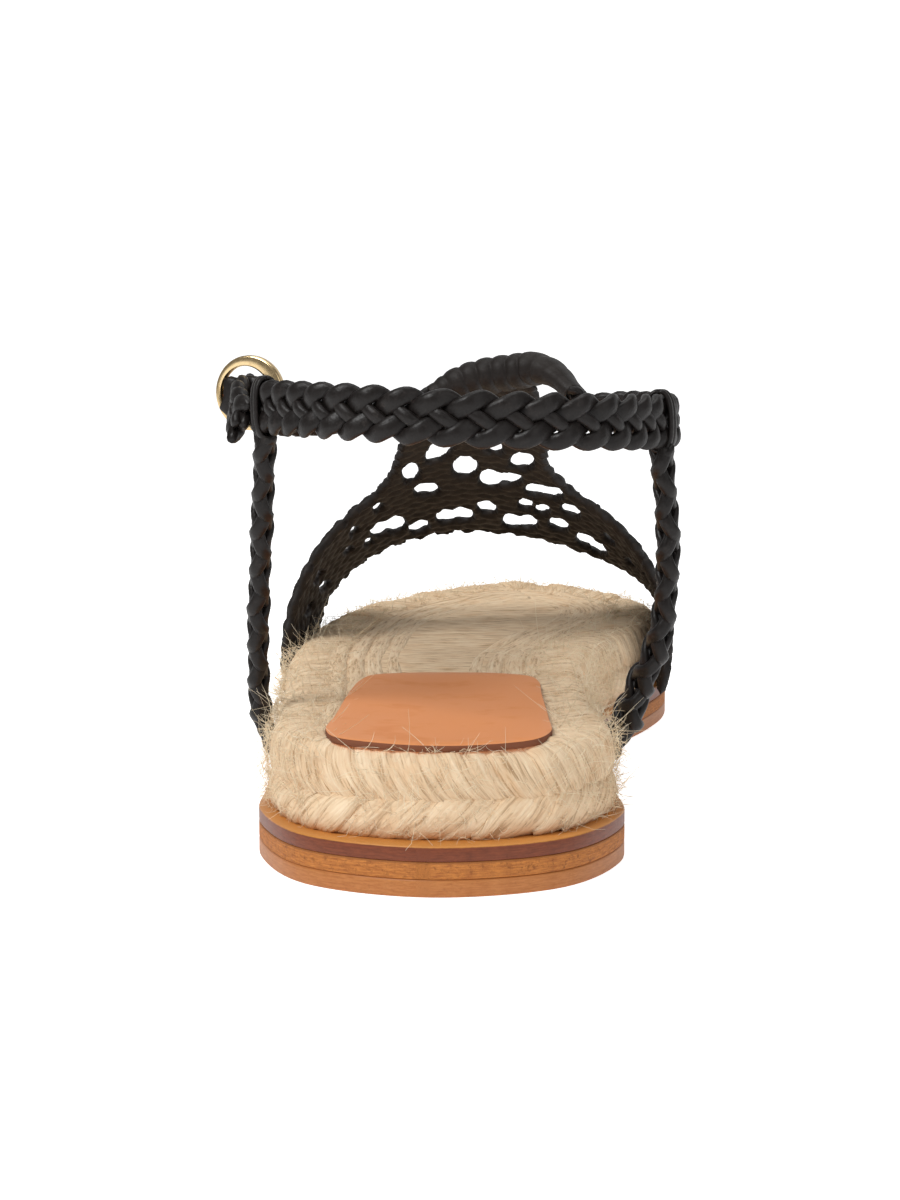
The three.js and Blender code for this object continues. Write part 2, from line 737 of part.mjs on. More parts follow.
// A flat braid hanging from a sleeve around the ankle strap, its face turned sideways. side: 1 medial, -1
// lateral. turn: its place on the ankle strap. seat: how deep its foot sits in the groove.
function sideStrap({ rows, side, turn, seat }) {
  const line = sideStrapLine({ rows, side, turn, seat });
  const steps = 2 * Math.round(line.getLength() / cordPitch);
  const rings = Array.from({ length: steps + 1 }, (_, step) => {
    const along = line.getTangentAt(step / steps).normalize();
    const up = new THREE.Vector3(side, 0, 0).cross(along).normalize();
    const out = along.clone().cross(up).normalize();
    const frame = { centre: line.getPointAt(step / steps), out, up, width: cordWidth };
    return braidRing(frame, cordThickness, cordRaise, cordRaise, step);
  });
  const loop = sleeve({
    turn, length: loopLength, steps: 2, thickness: loopWall, endThickness: loopWall, rib: 0,
  });
  return toSolid(stackOfRings(rings)).add(loop);
}

// Buckle

const buckleAngle = THREE.MathUtils.degToRad(buckleTurn);
const acrossBuckle = new THREE.Vector3(Math.cos(buckleAngle), Math.sin(buckleAngle), 0);
const throughBuckle = new THREE.Vector3(-acrossBuckle.y, acrossBuckle.x, 0);
const buckleMiddle = new THREE.Vector3(buckleX, fromHeelBack(buckleAt), strapHeight + buckleLift);

// A place on the buckle: across its ring, through it, and up.
function buckleMatrix(across, through) {
  const place = buckleMiddle.clone()
    .addScaledVector(acrossBuckle, across)
    .addScaledVector(throughBuckle, through);
  const up = acrossBuckle.clone().cross(throughBuckle);
  return new THREE.Matrix4().makeBasis(acrossBuckle, throughBuckle, up).setPosition(place);
}

function buckleFrame() {
  const inner = buckleRadius - buckleBand;
  const half = buckleDepth / 2;
  const profile = [
    [inner, -half + buckleRound], [inner + buckleRound, -half],
    [buckleRadius - buckleRound, -half], [buckleRadius, -half + buckleRound],
    [buckleRadius, half - buckleRound], [buckleRadius - buckleRound, half],
    [inner + buckleRound, half], [inner, half - buckleRound],
    [inner, -half + buckleRound],
  ].map(([x, y]) => new THREE.Vector2(x, y));
  const ring = toSolid(new THREE.LatheGeometry(profile, ringSides).applyMatrix4(buckleMatrix(0, 0)));
  const barLength = 2 * Math.sqrt(inner ** 2 - barOffset ** 2) + buckleBand / 2;
  const bar = new THREE.CylinderGeometry(barRadius, barRadius, barLength, rodSides).rotateX(Math.PI / 2);
  return ring.add(toSolid(bar.applyMatrix4(buckleMatrix(-barOffset, 0))));
}

// The prong lies outside the ring, from its bar to the far side.
function prong(radius, grow) {
  const length = barOffset + buckleRadius - buckleBand / 2 + 2 * grow;
  const pin = new THREE.CylinderGeometry(radius, radius, length, rodSides).rotateZ(Math.PI / 2);
  const through = throughBuckle.y < 0 ? 1 : -1;
  const offset = through * (buckleDepth / 2 + pieceGap + prongRadius);
  return pin.applyMatrix4(buckleMatrix((buckleRadius - buckleBand / 2 - barOffset) / 2, offset));
}

function ankleStrapWithHole() {
  return toSolid(ankleStrap()).subtract(toSolid(prong(prongRadius + pieceGap, 1)));
}

const lateral = { rows: lateralRows, side: -1, turn: lateralTurn, seat: lateralSeat };
const medial = { rows: medialRows, side: 1, turn: medialTurn, seat: medialSeat };
const group = new THREE.Group();
group.add(part('outsole', soleLayer(0, outsoleThickness), '#c08a52', 0.55));
group.add(part('middle_sole', soleLayer(outsoleThickness + pieceGap, middleThickness), '#b8834d', 0.8));
group.add(part('top_sole', soleLayer(stackTop - topThickness, topThickness), '#7a4a30', 0.6));
group.add(part('jute_footbed', juteFootbed(), '#dcc49c', 0.95));
group.add(part('heel_pad', heelPad(), '#c98a55', 0.5));
group.add(part('woven_upper', toGeometry(upper()), '#2c2826', 0.6));
group.add(part('ankle_strap', toGeometry(ankleStrapWithHole()), '#302b29', 0.55));
group.add(part('side_strap_lateral', toGeometry(sideStrap(lateral)), '#302b29', 0.55));
group.add(part('side_strap_medial', toGeometry(sideStrap(medial)), '#302b29', 0.55));
group.add(part('buckle_frame', toGeometry(buckleFrame()), '#d8b878', 0.25, 1));
group.add(part('buckle_prong', prong(prongRadius, 0), '#d8b878', 0.25, 1));

export default group;
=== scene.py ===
"""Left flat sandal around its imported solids.

A stacked leather sole, a wrapped and braided jute footbed with a leather heel pad, an openwork leather
upper with a ribbed fold, braided ankle and side straps and a round gold buckle. Shapes are worked out in
millimetres in the frame of the solids, toes towards +Y and big toe side towards +X, and turned into
metres when a piece is finished.
"""

import logging
import math
from dataclasses import dataclass, field
from enum import Enum

import bmesh
import bpy
import numpy as np
from mathutils import Matrix, Vector


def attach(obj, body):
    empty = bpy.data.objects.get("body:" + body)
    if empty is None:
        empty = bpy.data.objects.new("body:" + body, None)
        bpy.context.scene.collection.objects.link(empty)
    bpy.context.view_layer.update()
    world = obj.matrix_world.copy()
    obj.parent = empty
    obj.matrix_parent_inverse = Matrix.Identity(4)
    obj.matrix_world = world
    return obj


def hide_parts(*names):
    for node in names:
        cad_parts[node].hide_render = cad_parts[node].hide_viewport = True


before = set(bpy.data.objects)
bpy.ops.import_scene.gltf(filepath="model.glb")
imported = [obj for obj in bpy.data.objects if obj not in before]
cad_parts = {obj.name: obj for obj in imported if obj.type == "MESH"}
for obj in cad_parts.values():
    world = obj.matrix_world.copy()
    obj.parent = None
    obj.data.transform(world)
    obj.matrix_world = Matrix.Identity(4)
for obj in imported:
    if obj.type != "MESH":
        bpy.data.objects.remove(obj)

log = logging.getLogger("sandal")

MM = 0.001
HEEL_CENTRE = 31.25
Array = np.ndarray
Colour = tuple[float, float, float]


class Side(Enum):
    """Sides of the sandal, with the sign of their X."""

    LATERAL = -1
    MEDIAL = 1


class Sheet(Enum):
    """Faces of an openwork wall, with the sign of their offset."""

    OUTER = 1
    INNER = -1


# Numbers and paths


def from_heel_back(distance: float | Array) -> float | Array:
    """Y of a place given by its distance from the heel's back."""
    return distance - HEEL_CENTRE


def unit(vectors: Array) -> Array:
    """Vectors brought to length one."""
    return vectors / np.maximum(np.linalg.norm(vectors, axis=-1, keepdims=True), 1e-9)


def column(rows: list[tuple[float, ...]], number: int, at: float | Array) -> Array:
    """Value of a table's column at a place given in its first column.

    Args:
        rows: table whose first column rises.
        number: which column is read.
        at: one place or many.

    Returns:
        The values, along straight lines between the rows.
    """
    table = np.array(rows, float)
    return np.interp(at, table[:, 0], table[:, number])


class Path:
    """A smooth path through points, read by shares of its length."""

    def __init__(self, points: Array, closed: bool = False, per_span: int = 40) -> None:
        """Samples a centripetal spline through the points.

        Args:
            points: points of the path, one a row.
            closed: whether the path returns to its first point.
            per_span: samples between two neighbouring points.
        """
        points = np.asarray(points, float)
        count = len(points)
        spans = count if closed else count - 1
        shares = np.arange(per_span) / per_span
        pieces = []
        for span in range(spans):
            if closed:
                four = [points[(span + step) % count] for step in (-1, 0, 1, 2)]
            else:
                first = points[span - 1] if span else 2 * points[0] - points[1]
                beyond = points[span + 2] if span + 2 < count else 2 * points[-1] - points[-2]
                four = [first, points[span], points[span + 1], beyond]
            pieces.append(self._span(four, shares))
        pieces.append(points[:1] if closed else points[-1:])
        self.dense = np.vstack(pieces)
        self.places = np.arange(len(self.dense)) / per_span
        steps = np.linalg.norm(np.diff(self.dense, axis=0), axis=1)
        self.reached = np.concatenate([[0.0], np.cumsum(steps)])
        self.length = float(self.reached[-1])
        self.closed = closed

    @staticmethod
    def _span(four: list[Array], shares: Array) -> Array:
        """Samples one span of the spline between its two middle points."""
        before, start, end, after = four
        gaps = [max(float(np.sum((b - a) ** 2)), 1e-8) ** 0.25 for a, b in zip(four, four[1:])]
        leave = (start - before) / gaps[0] - (end - before) / (gaps[0] + gaps[1]) + (end - start) / gaps[1]
        reach = (end - start) / gaps[1] - (after - start) / (gaps[1] + gaps[2]) + (after - end) / gaps[2]
        t = shares[:, None]
        return (
            (2 * t**3 - 3 * t**2 + 1) * start
            + (t**3 - 2 * t**2 + t) * leave * gaps[1]
            + (3 * t**2 - 2 * t**3) * end
            + (t**3 - t**2) * reach * gaps[1]
        )

    def _read(self, values: Array, shares: Array) -> Array:
        """Values of the samples at shares of the length."""
        shares = np.mod(shares, 1.0) if self.closed else np.clip(shares, 0.0, 1.0)
        reached = np.asarray(shares) * self.length
        if values.ndim == 1:
            return np.interp(reached, self.reached, values)
        columns = [np.interp(reached, self.reached, values[:, axis]) for axis in range(values.shape[1])]
        return np.stack(columns, -1)

    def at(self, shares: Array) -> Array:
        """Points at shares of the length."""
        return self._read(self.dense, shares)

    def place(self, shares: Array) -> Array:
        """Places among the path's own points, counted from 0, at shares of the length."""
        return self._read(self.places, shares)

    def share_of(self, place: float) -> float:
        """Share of the length at a place among the path's own points."""
        return float(np.interp(place, self.places, self.reached) / self.length)

    def along(self, shares: Array) -> Array:
        """Directions of the path at shares of the length."""
        step = 0.4 / self.length
        return unit(self.at(shares + step) - self.at(shares - step))


# Meshes


def finish_piece(bm: bmesh.types.BMesh, name: str, material: bpy.types.Material, slot: str,
                 *nodes: str) -> bpy.types.Object:
    """Turns a mesh in millimetres into a finished piece of the sandal.

    Args:
        bm: the mesh, freed afterwards.
        name: the piece's name.
        material: its finish.
        slot: the record's material slot; not used.
        nodes: solids that the piece stands for.

    Returns:
        The piece, riding on the one body.
    """
    bmesh.ops.scale(bm, vec=(MM, MM, MM), verts=bm.verts)
    mesh = bpy.data.meshes.new(name)
    bm.to_mesh(mesh)
    bm.free()
    mesh.polygons.foreach_set("use_smooth", [True] * len(mesh.polygons))
    mesh.materials.append(material)
    piece = bpy.data.objects.new(name, mesh)
    bpy.context.scene.collection.objects.link(piece)
    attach(piece, "root")
    if nodes:
        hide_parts(*nodes)
    log.info("%s: %d faces", name, len(mesh.polygons))
    return piece


def empty_mesh() -> bmesh.types.BMesh:
    """A new mesh with the vertex values that the finishes read."""
    bm = bmesh.new()
    bm.verts.layers.float_vector.new("strand")
    bm.verts.layers.float.new("tint")
    return bm


@dataclass
class Rings:
    """A row of rings along a strand: where each is and how it lies."""

    centres: Array
    sides: Array
    outs: Array
    half_width: float | Array
    half_depth: float | Array
    squareness: float = 1.0

    def points(self, ring: Array, angle: Array) -> Array:
        """Points at ring numbers and angles around them."""
        wide = np.broadcast_to(self.half_width, (len(self.centres),))[ring]
        deep = np.broadcast_to(self.half_depth, (len(self.centres),))[ring]
        cosine, sine = np.cos(angle), np.sin(angle)
        across = np.sign(cosine) * np.abs(cosine) ** self.squareness * wide
        out = np.sign(sine) * np.abs(sine) ** self.squareness * deep
        return self.centres[ring] + self.sides[ring] * across[:, None] + self.outs[ring] * out[:, None]


def rings_along(centres: Array, facing: Array, half_width: float | Array, half_depth: float | Array,
                squareness: float = 1.0) -> Rings:
    """Rings square to a line of centres, their wide side turned to a facing direction.

    Args:
        centres: centres of the rings.
        facing: for each ring, the direction that its flat face looks.
        half_width: half the width along the face.
        half_depth: half the depth through the face.
        squareness: 1 for an ellipse, less for a fuller outline.

    Returns:
        The rings.
    """
    along = unit(np.gradient(centres, axis=0))
    outs = unit(facing - along * np.sum(facing * along, axis=1, keepdims=True))
    return Rings(centres, np.cross(along, outs), outs, half_width, half_depth, squareness)


def add_tube(bm: bmesh.types.BMesh, rings: Rings, around: int, shift: float = 0.0, tint: float = 0.5) -> None:
    """Adds a closed tube through rings, with the strand's own coordinates on its vertices.

    Args:
        bm: mesh that takes the tube.
        rings: the tube's rings.
        around: faces around the tube.
        shift: sideways shift of the strand's coordinates, so that no two strands look alike.
        tint: the strand's tone from 0 to 1.
    """
    count = len(rings.centres)
    made = bmesh.ops.create_grid(bm, x_segments=count - 1, y_segments=around, size=0.5)["verts"]
    flat = np.array([vert.co[:2] for vert in made]) + 0.5
    ring = np.rint(flat[:, 0] * (count - 1)).astype(int)
    angle = 2 * math.pi * flat[:, 1]
    points = rings.points(ring, angle)
    reached = np.concatenate([[0.0], np.cumsum(np.linalg.norm(np.diff(rings.centres, axis=0), axis=1))])
    strand, tone = bm.verts.layers.float_vector["strand"], bm.verts.layers.float["tint"]
    local = np.stack([np.cos(angle) * 1.5 + shift, np.sin(angle) * 1.5, reached[ring] + shift], -1)
    for vert, point, spot in zip(made, points.tolist(), local.tolist()):
        vert.co = point
        vert[strand] = spot
        vert[tone] = tint


def close_tubes(bm: bmesh.types.BMesh) -> None:
    """Welds the seams of tubes, closes their ends and turns all faces outwards."""
    bmesh.ops.remove_doubles(bm, verts=bm.verts, dist=1e-3)
    ends = [edge for edge in bm.edges if edge.is_boundary]
    bmesh.ops.holes_fill(bm, edges=ends, sides=0)
    bmesh.ops.recalc_face_normals(bm, faces=bm.faces)


# Finishes


def wire(tree: bpy.types.NodeTree, kind: str, inputs: dict | None = None,
         **settings: object) -> bpy.types.Node:
    """Adds a node with its settings, and links or sets its inputs.

    Args:
        tree: tree that takes the node.
        kind: the node's type.
        inputs: value or output socket for each input, by name or number.
        settings: plain settings of the node.

    Returns:
        The new node.
    """
    node = tree.nodes.new(kind)
    for name, value in settings.items():
        setattr(node, name, value)
    for key, value in (inputs or {}).items():
        if isinstance(value, bpy.types.NodeSocket):
            tree.links.new(value, node.inputs[key])
        else:
            node.inputs[key].default_value = value
    return node


def blend_colours(tree: bpy.types.NodeTree, factor: object, first: object, second: object,
                  how: str = "MIX") -> bpy.types.NodeSocket:
    """Mixes two colours, each a socket or a plain colour, and returns the result."""
    pair = [value if isinstance(value, bpy.types.NodeSocket) else (*value[:3], 1.0)
            for value in (first, second)]
    node = wire(tree, "ShaderNodeMix", {0: factor, 6: pair[0], 7: pair[1]}, data_type="RGBA",
                blend_type=how)
    return node.outputs[2]


def maths(tree: bpy.types.NodeTree, how: str, first: object, second: object = 0.0) -> bpy.types.NodeSocket:
    """One sum on two values, each a socket or a number."""
    return wire(tree, "ShaderNodeMath", {0: first, 1: second}, operation=how).outputs[0]


def new_group(name: str, inputs: dict[str, tuple[str, object]], outputs: dict[str, str]) -> tuple:
    """A node group with named sockets.

    Args:
        name: the group's name.
        inputs: for each input its socket type and first value.
        outputs: for each output its socket type.

    Returns:
        The group, its input node and its output node.
    """
    group = bpy.data.node_groups.new(name, "ShaderNodeTree")
    for label, (kind, value) in inputs.items():
        socket = group.interface.new_socket(label, in_out="INPUT", socket_type=kind)
        if value is not None:
            socket.default_value = value
    for label, kind in outputs.items():
        group.interface.new_socket(label, in_out="OUTPUT", socket_type=kind)
    return group, group.nodes.new("NodeGroupInput"), group.nodes.new("NodeGroupOutput")


class Effects:
    """Effects that several finishes share, each one node group."""

    def __init__(self) -> None:
        """Builds the groups."""
        self.fibres = self._fibres()
        self.grain = self._grain()
        self.patches = self._patches()

    @staticmethod
    def _fibres() -> bpy.types.NodeTree:
        """Fine streaks that run along a strand. Fineness: streaks a millimetre. Length: in millimetres."""
        group, given, made = new_group(
            "fibre_streaks",
            {"Strand": ("NodeSocketVector", None), "Fineness": ("NodeSocketFloat", 3.0),
             "Length": ("NodeSocketFloat", 6.0)},
            {"Streaks": "NodeSocketFloat", "Bundles": "NodeSocketFloat"},
        )
        stretch = wire(group, "ShaderNodeCombineXYZ", {
            0: given.outputs["Fineness"], 1: given.outputs["Fineness"],
            2: maths(group, "DIVIDE", 1.0, given.outputs["Length"]),
        })
        spot = wire(group, "ShaderNodeVectorMath", {0: given.outputs["Strand"], 1: stretch.outputs[0]},
                    operation="MULTIPLY")
        fine = wire(group, "ShaderNodeTexNoise", {"Vector": spot.outputs[0], "Scale": 1.0, "Detail": 3.0,
                                                  "Roughness": 0.6, "Distortion": 0.3})
        broad = wire(group, "ShaderNodeTexNoise", {"Vector": spot.outputs[0], "Scale": 0.3, "Detail": 1.5})
        group.links.new(fine.outputs[0], made.inputs["Streaks"])
        group.links.new(broad.outputs[0], made.inputs["Bundles"])
        return group

    @staticmethod
    def _grain() -> bpy.types.NodeTree:
        """Pebbled leather grain. Size: width of a pebble in millimetres."""
        group, given, made = new_group(
            "leather_grain",
            {"Place": ("NodeSocketVector", None), "Size": ("NodeSocketFloat", 0.5)},
            {"Height": "NodeSocketFloat"},
        )
        scale = maths(group, "DIVIDE", 1000.0, given.outputs["Size"])
        cells = wire(group, "ShaderNodeTexVoronoi", {"Vector": given.outputs["Place"], "Scale": scale},
                     feature="SMOOTH_F1")
        pores = wire(group, "ShaderNodeTexNoise",
                     {"Vector": given.outputs["Place"], "Scale": scale, "Detail": 3.0})
        height = maths(group, "SUBTRACT", pores.outputs[0], maths(group, "MULTIPLY", cells.outputs[0], 0.6))
        group.links.new(height, made.inputs["Height"])
        return group

    @staticmethod
    def _patches() -> bpy.types.NodeTree:
        """Soft patches of wear. Size: their width in millimetres. Cover: share of the surface."""
        group, given, made = new_group(
            "soft_patches",
            {"Place": ("NodeSocketVector", None), "Size": ("NodeSocketFloat", 8.0),
             "Cover": ("NodeSocketFloat", 0.4)},
            {"Mask": "NodeSocketFloat"},
        )
        scale = maths(group, "DIVIDE", 1000.0, given.outputs["Size"])
        noise = wire(group, "ShaderNodeTexNoise", {
            "Vector": given.outputs["Place"], "Scale": scale, "Detail": 3.0, "Roughness": 0.65,
        })
        low = maths(group, "SUBTRACT", 0.75, maths(group, "MULTIPLY", given.outputs["Cover"], 0.5))
        mask = wire(group, "ShaderNodeMapRange", {"Value": noise.outputs[0], "From Min": low,
                                                  "From Max": maths(group, "ADD", low, 0.2)},
                    interpolation_type="SMOOTHSTEP")
        group.links.new(mask.outputs[0], made.inputs["Mask"])
        return group


@dataclass(frozen=True)
class Finish:
    """What every finish has: a name and the groups that it may place."""

    name: str
    effects: Effects

    def start(self) -> tuple:
        """A new material with its tree, its shader and its object coordinates."""
        material = bpy.data.materials.new(self.name)
        material.use_nodes = True
        tree = material.node_tree
        shader = next(node for node in tree.nodes if node.type == "BSDF_PRINCIPLED")
        place = wire(tree, "ShaderNodeTexCoord").outputs["Object"]
        return material, tree, shader, place

    @staticmethod
    def group(tree: bpy.types.NodeTree, effect: bpy.types.NodeTree, inputs: dict) -> bpy.types.Node:
        """Places a shared effect in a tree with its own values."""
        node = tree.nodes.new("ShaderNodeGroup")
        node.node_tree = effect
        for key, value in inputs.items():
            if isinstance(value, bpy.types.NodeSocket):
                tree.links.new(value, node.inputs[key])
            else:
                node.inputs[key].default_value = value
        return node

    @staticmethod
    def strand(tree: bpy.types.NodeTree) -> bpy.types.NodeSocket:
        """The strand's own coordinates in millimetres."""
        return wire(tree, "ShaderNodeAttribute", attribute_name="strand").outputs["Vector"]

    @staticmethod
    def tone(tree: bpy.types.NodeTree) -> bpy.types.NodeSocket:
        """The piece's own tone from 0 to 1."""
        return wire(tree, "ShaderNodeAttribute", attribute_name="tint").outputs["Fac"]

    @staticmethod
    def bump(tree: bpy.types.NodeTree, height: bpy.types.NodeSocket, depth_mm: float, strength: float,
             under: bpy.types.NodeSocket | None = None) -> bpy.types.NodeSocket:
        """A normal from a height from 0 to 1, on top of another normal."""
        inputs = {"Height": height, "Distance": depth_mm * MM, "Strength": strength}
        if under is not None:
            inputs["Normal"] = under
        return wire(tree, "ShaderNodeBump", inputs).outputs[0]


@dataclass(frozen=True)
class StrapLeather(Finish):
    """Soft charcoal leather of the straps and the upper."""

    dark: Colour = (0.0058, 0.0042, 0.0036)
    light: Colour = (0.0145, 0.0112, 0.01)
    rubbed: Colour = (0.058, 0.046, 0.042)
    inner: Colour | None = None
    roughness: float = 0.42

    def material(self) -> bpy.types.Material:
        """Builds the material."""
        material, tree, shader, place = self.start()
        strand = self.strand(tree)
        fibres = self.group(tree, self.effects.fibres, {"Strand": strand, "Fineness": 1.3, "Length": 5.0})
        grain = self.group(tree, self.effects.grain, {"Place": place, "Size": 0.42})
        wear = self.group(tree, self.effects.patches, {"Place": place, "Size": 3.2, "Cover": 0.42})
        colour = blend_colours(tree, fibres.outputs["Bundles"], self.dark, self.light)
        speckle = maths(tree, "MULTIPLY", wear.outputs[0], grain.outputs[0])
        colour = blend_colours(tree, speckle, colour, self.rubbed)
        if self.inner is not None:
            streaks = blend_colours(tree, fibres.outputs["Bundles"], self.dark, self.inner)
            colour = blend_colours(tree, self.tone(tree), colour, streaks)
        tree.links.new(colour, shader.inputs["Base Color"])
        rough = wire(tree, "ShaderNodeMapRange", {"Value": grain.outputs[0], "To Min": self.roughness - 0.08,
                                                  "To Max": self.roughness + 0.16})
        tree.links.new(rough.outputs[0], shader.inputs["Roughness"])
        creases = self.bump(tree, fibres.outputs["Streaks"], 0.14, 0.4)
        tree.links.new(self.bump(tree, grain.outputs[0], 0.08, 0.5, creases), shader.inputs["Normal"])
        shader.inputs["Specular IOR Level"].default_value = 0.3
        return material


@dataclass(frozen=True)
class Jute(Finish):
    """Natural jute, with streaks along its strands."""

    dark: Colour = (0.45, 0.27, 0.14)
    middle: Colour = (0.8, 0.575, 0.36)
    light: Colour = (0.95, 0.77, 0.55)
    fineness: float = 3.1
    length: float = 6.0
    depth: float = 0.5
    warm: Colour = (0.76, 0.48, 0.26)
    warmth: float = 0.34

    def material(self) -> bpy.types.Material:
        """Builds the material."""
        material, tree, shader, place = self.start()
        fibres = self.group(tree, self.effects.fibres,
                            {"Strand": self.strand(tree), "Fineness": self.fineness, "Length": self.length})
        patches = self.group(tree, self.effects.patches, {"Place": place, "Size": 6.0, "Cover": 0.5})
        ramp = wire(tree, "ShaderNodeValToRGB", {"Fac": fibres.outputs["Streaks"]})
        stops = ramp.color_ramp.elements
        stops[0].position, stops[0].color = 0.33, (*self.dark, 1.0)
        stops[1].position, stops[1].color = 0.68, (*self.light, 1.0)
        middle = stops.new(0.45)
        middle.color = (*self.middle, 1.0)
        pale = maths(tree, "MULTIPLY", self.tone(tree), 0.35)
        toned = blend_colours(tree, pale, ramp.outputs[0], self.light)
        cover = maths(tree, "MULTIPLY", patches.outputs[0], self.warmth)
        colour = blend_colours(tree, cover, toned, self.warm)
        tree.links.new(colour, shader.inputs["Base Color"])
        shader.inputs["Roughness"].default_value = 0.92
        shader.inputs["Specular IOR Level"].default_value = 0.2
        bundles = self.bump(tree, fibres.outputs["Bundles"], self.depth * 2, 0.5)
        normal = self.bump(tree, fibres.outputs["Streaks"], self.depth, 0.8, bundles)
        tree.links.new(normal, shader.inputs["Normal"])
        return material


@dataclass(frozen=True)
class SmoothLeather(Finish):
    """Smooth dressed leather with soft mottling."""

    base: Colour = (0.82, 0.3, 0.095)
    mottle: Colour = (0.7, 0.235, 0.068)
    roughness: float = 0.46

    def material(self) -> bpy.types.Material:
        """Builds the material."""
        material, tree, shader, place = self.start()
        patches = self.group(tree, self.effects.patches, {"Place": place, "Size": 14.0, "Cover": 0.5})
        grain = self.group(tree, self.effects.grain, {"Place": place, "Size": 0.6})
        cover = maths(tree, "MULTIPLY", patches.outputs[0], 0.55)
        colour = blend_colours(tree, cover, self.base, self.mottle)
        tree.links.new(colour, shader.inputs["Base Color"])
        rough = wire(tree, "ShaderNodeMapRange", {"Value": patches.outputs[0], "To Min": self.roughness,
                                                  "To Max": self.roughness + 0.12})
        tree.links.new(rough.outputs[0], shader.inputs["Roughness"])
        tree.links.new(self.bump(tree, grain.outputs[0], 0.05, 0.35), shader.inputs["Normal"])
        return material


@dataclass(frozen=True)
class SoleEdge(Finish):
    """Leather of a sole layer: cut edge with long streaks, and a rim of another tone at its upper edge."""

    base: Colour = (0.5, 0.27, 0.12)
    streak: Colour = (0.38, 0.18, 0.07)
    rim: Colour = (0.62, 0.33, 0.1)
    rim_from: float = 2.0
    coarse: float = 0.35
    roughness: float = 0.45
    depth: float = 0.12

    def material(self) -> bpy.types.Material:
        """Builds the material. The strand's values are the height in the layer and the way round."""
        material, tree, shader, place = self.start()
        strand = self.strand(tree)
        flow = wire(tree, "ShaderNodeVectorMath", {0: strand, 1: (1.0, 1.0, 0.14)}, operation="MULTIPLY")
        streaks = wire(tree, "ShaderNodeTexNoise", {"Vector": flow.outputs[0], "Scale": 2.6, "Detail": 4.0,
                                                    "Roughness": 0.68})
        rough_fibre = wire(tree, "ShaderNodeTexNoise", {"Vector": place, "Scale": 900.0, "Detail": 4.0,
                                                        "Roughness": 0.75})
        ramp = wire(tree, "ShaderNodeMapRange",
                    {"Value": streaks.outputs[0], "From Min": 0.38, "From Max": 0.66})
        colour = blend_colours(tree, ramp.outputs[0], self.base, self.streak)
        pits = wire(tree, "ShaderNodeMapRange", {
            "Value": rough_fibre.outputs[0], "From Min": 0.55, "From Max": 0.72, "To Max": self.coarse,
        })
        colour = blend_colours(tree, pits.outputs[0], colour, tuple(part * 0.45 for part in self.streak))
        height = wire(tree, "ShaderNodeSeparateXYZ", {0: strand}).outputs[0]
        wavy = maths(tree, "ADD", height, maths(tree, "MULTIPLY", rough_fibre.outputs[0], 0.22))
        rim = wire(tree, "ShaderNodeMapRange", {"Value": wavy, "From Min": self.rim_from,
                                                "From Max": self.rim_from + 0.22})
        colour = blend_colours(tree, rim.outputs[0], colour, self.rim)
        tree.links.new(colour, shader.inputs["Base Color"])
        shader.inputs["Roughness"].default_value = self.roughness
        shader.inputs["Specular IOR Level"].default_value = 0.32
        normal = self.bump(tree, streaks.outputs[0], self.depth, 0.5)
        tree.links.new(self.bump(tree, rough_fibre.outputs[0], self.depth, self.coarse, normal),
                       shader.inputs["Normal"])
        return material


@dataclass(frozen=True)
class GoldMetal(Finish):
    """Polished pale gold with faint scratches."""

    base: Colour = (0.83, 0.62, 0.34)
    deep: Colour = (0.6, 0.38, 0.16)

    def material(self) -> bpy.types.Material:
        """Builds the material."""
        material, tree, shader, place = self.start()
        patches = self.group(tree, self.effects.patches, {"Place": place, "Size": 3.0, "Cover": 0.4})
        scratches = wire(tree, "ShaderNodeTexNoise", {"Vector": place, "Scale": 1400.0, "Detail": 3.0})
        colour = blend_colours(tree, maths(tree, "MULTIPLY", patches.outputs[0], 0.6), self.base, self.deep)
        tree.links.new(colour, shader.inputs["Base Color"])
        rough = wire(tree, "ShaderNodeMapRange",
                     {"Value": scratches.outputs[0], "To Min": 0.1, "To Max": 0.3})
        tree.links.new(rough.outputs[0], shader.inputs["Roughness"])
        shader.inputs["Metallic"].default_value = 1.0
        tree.links.new(self.bump(tree, scratches.outputs[0], 0.02, 0.25), shader.inputs["Normal"])
        return material


# Sole


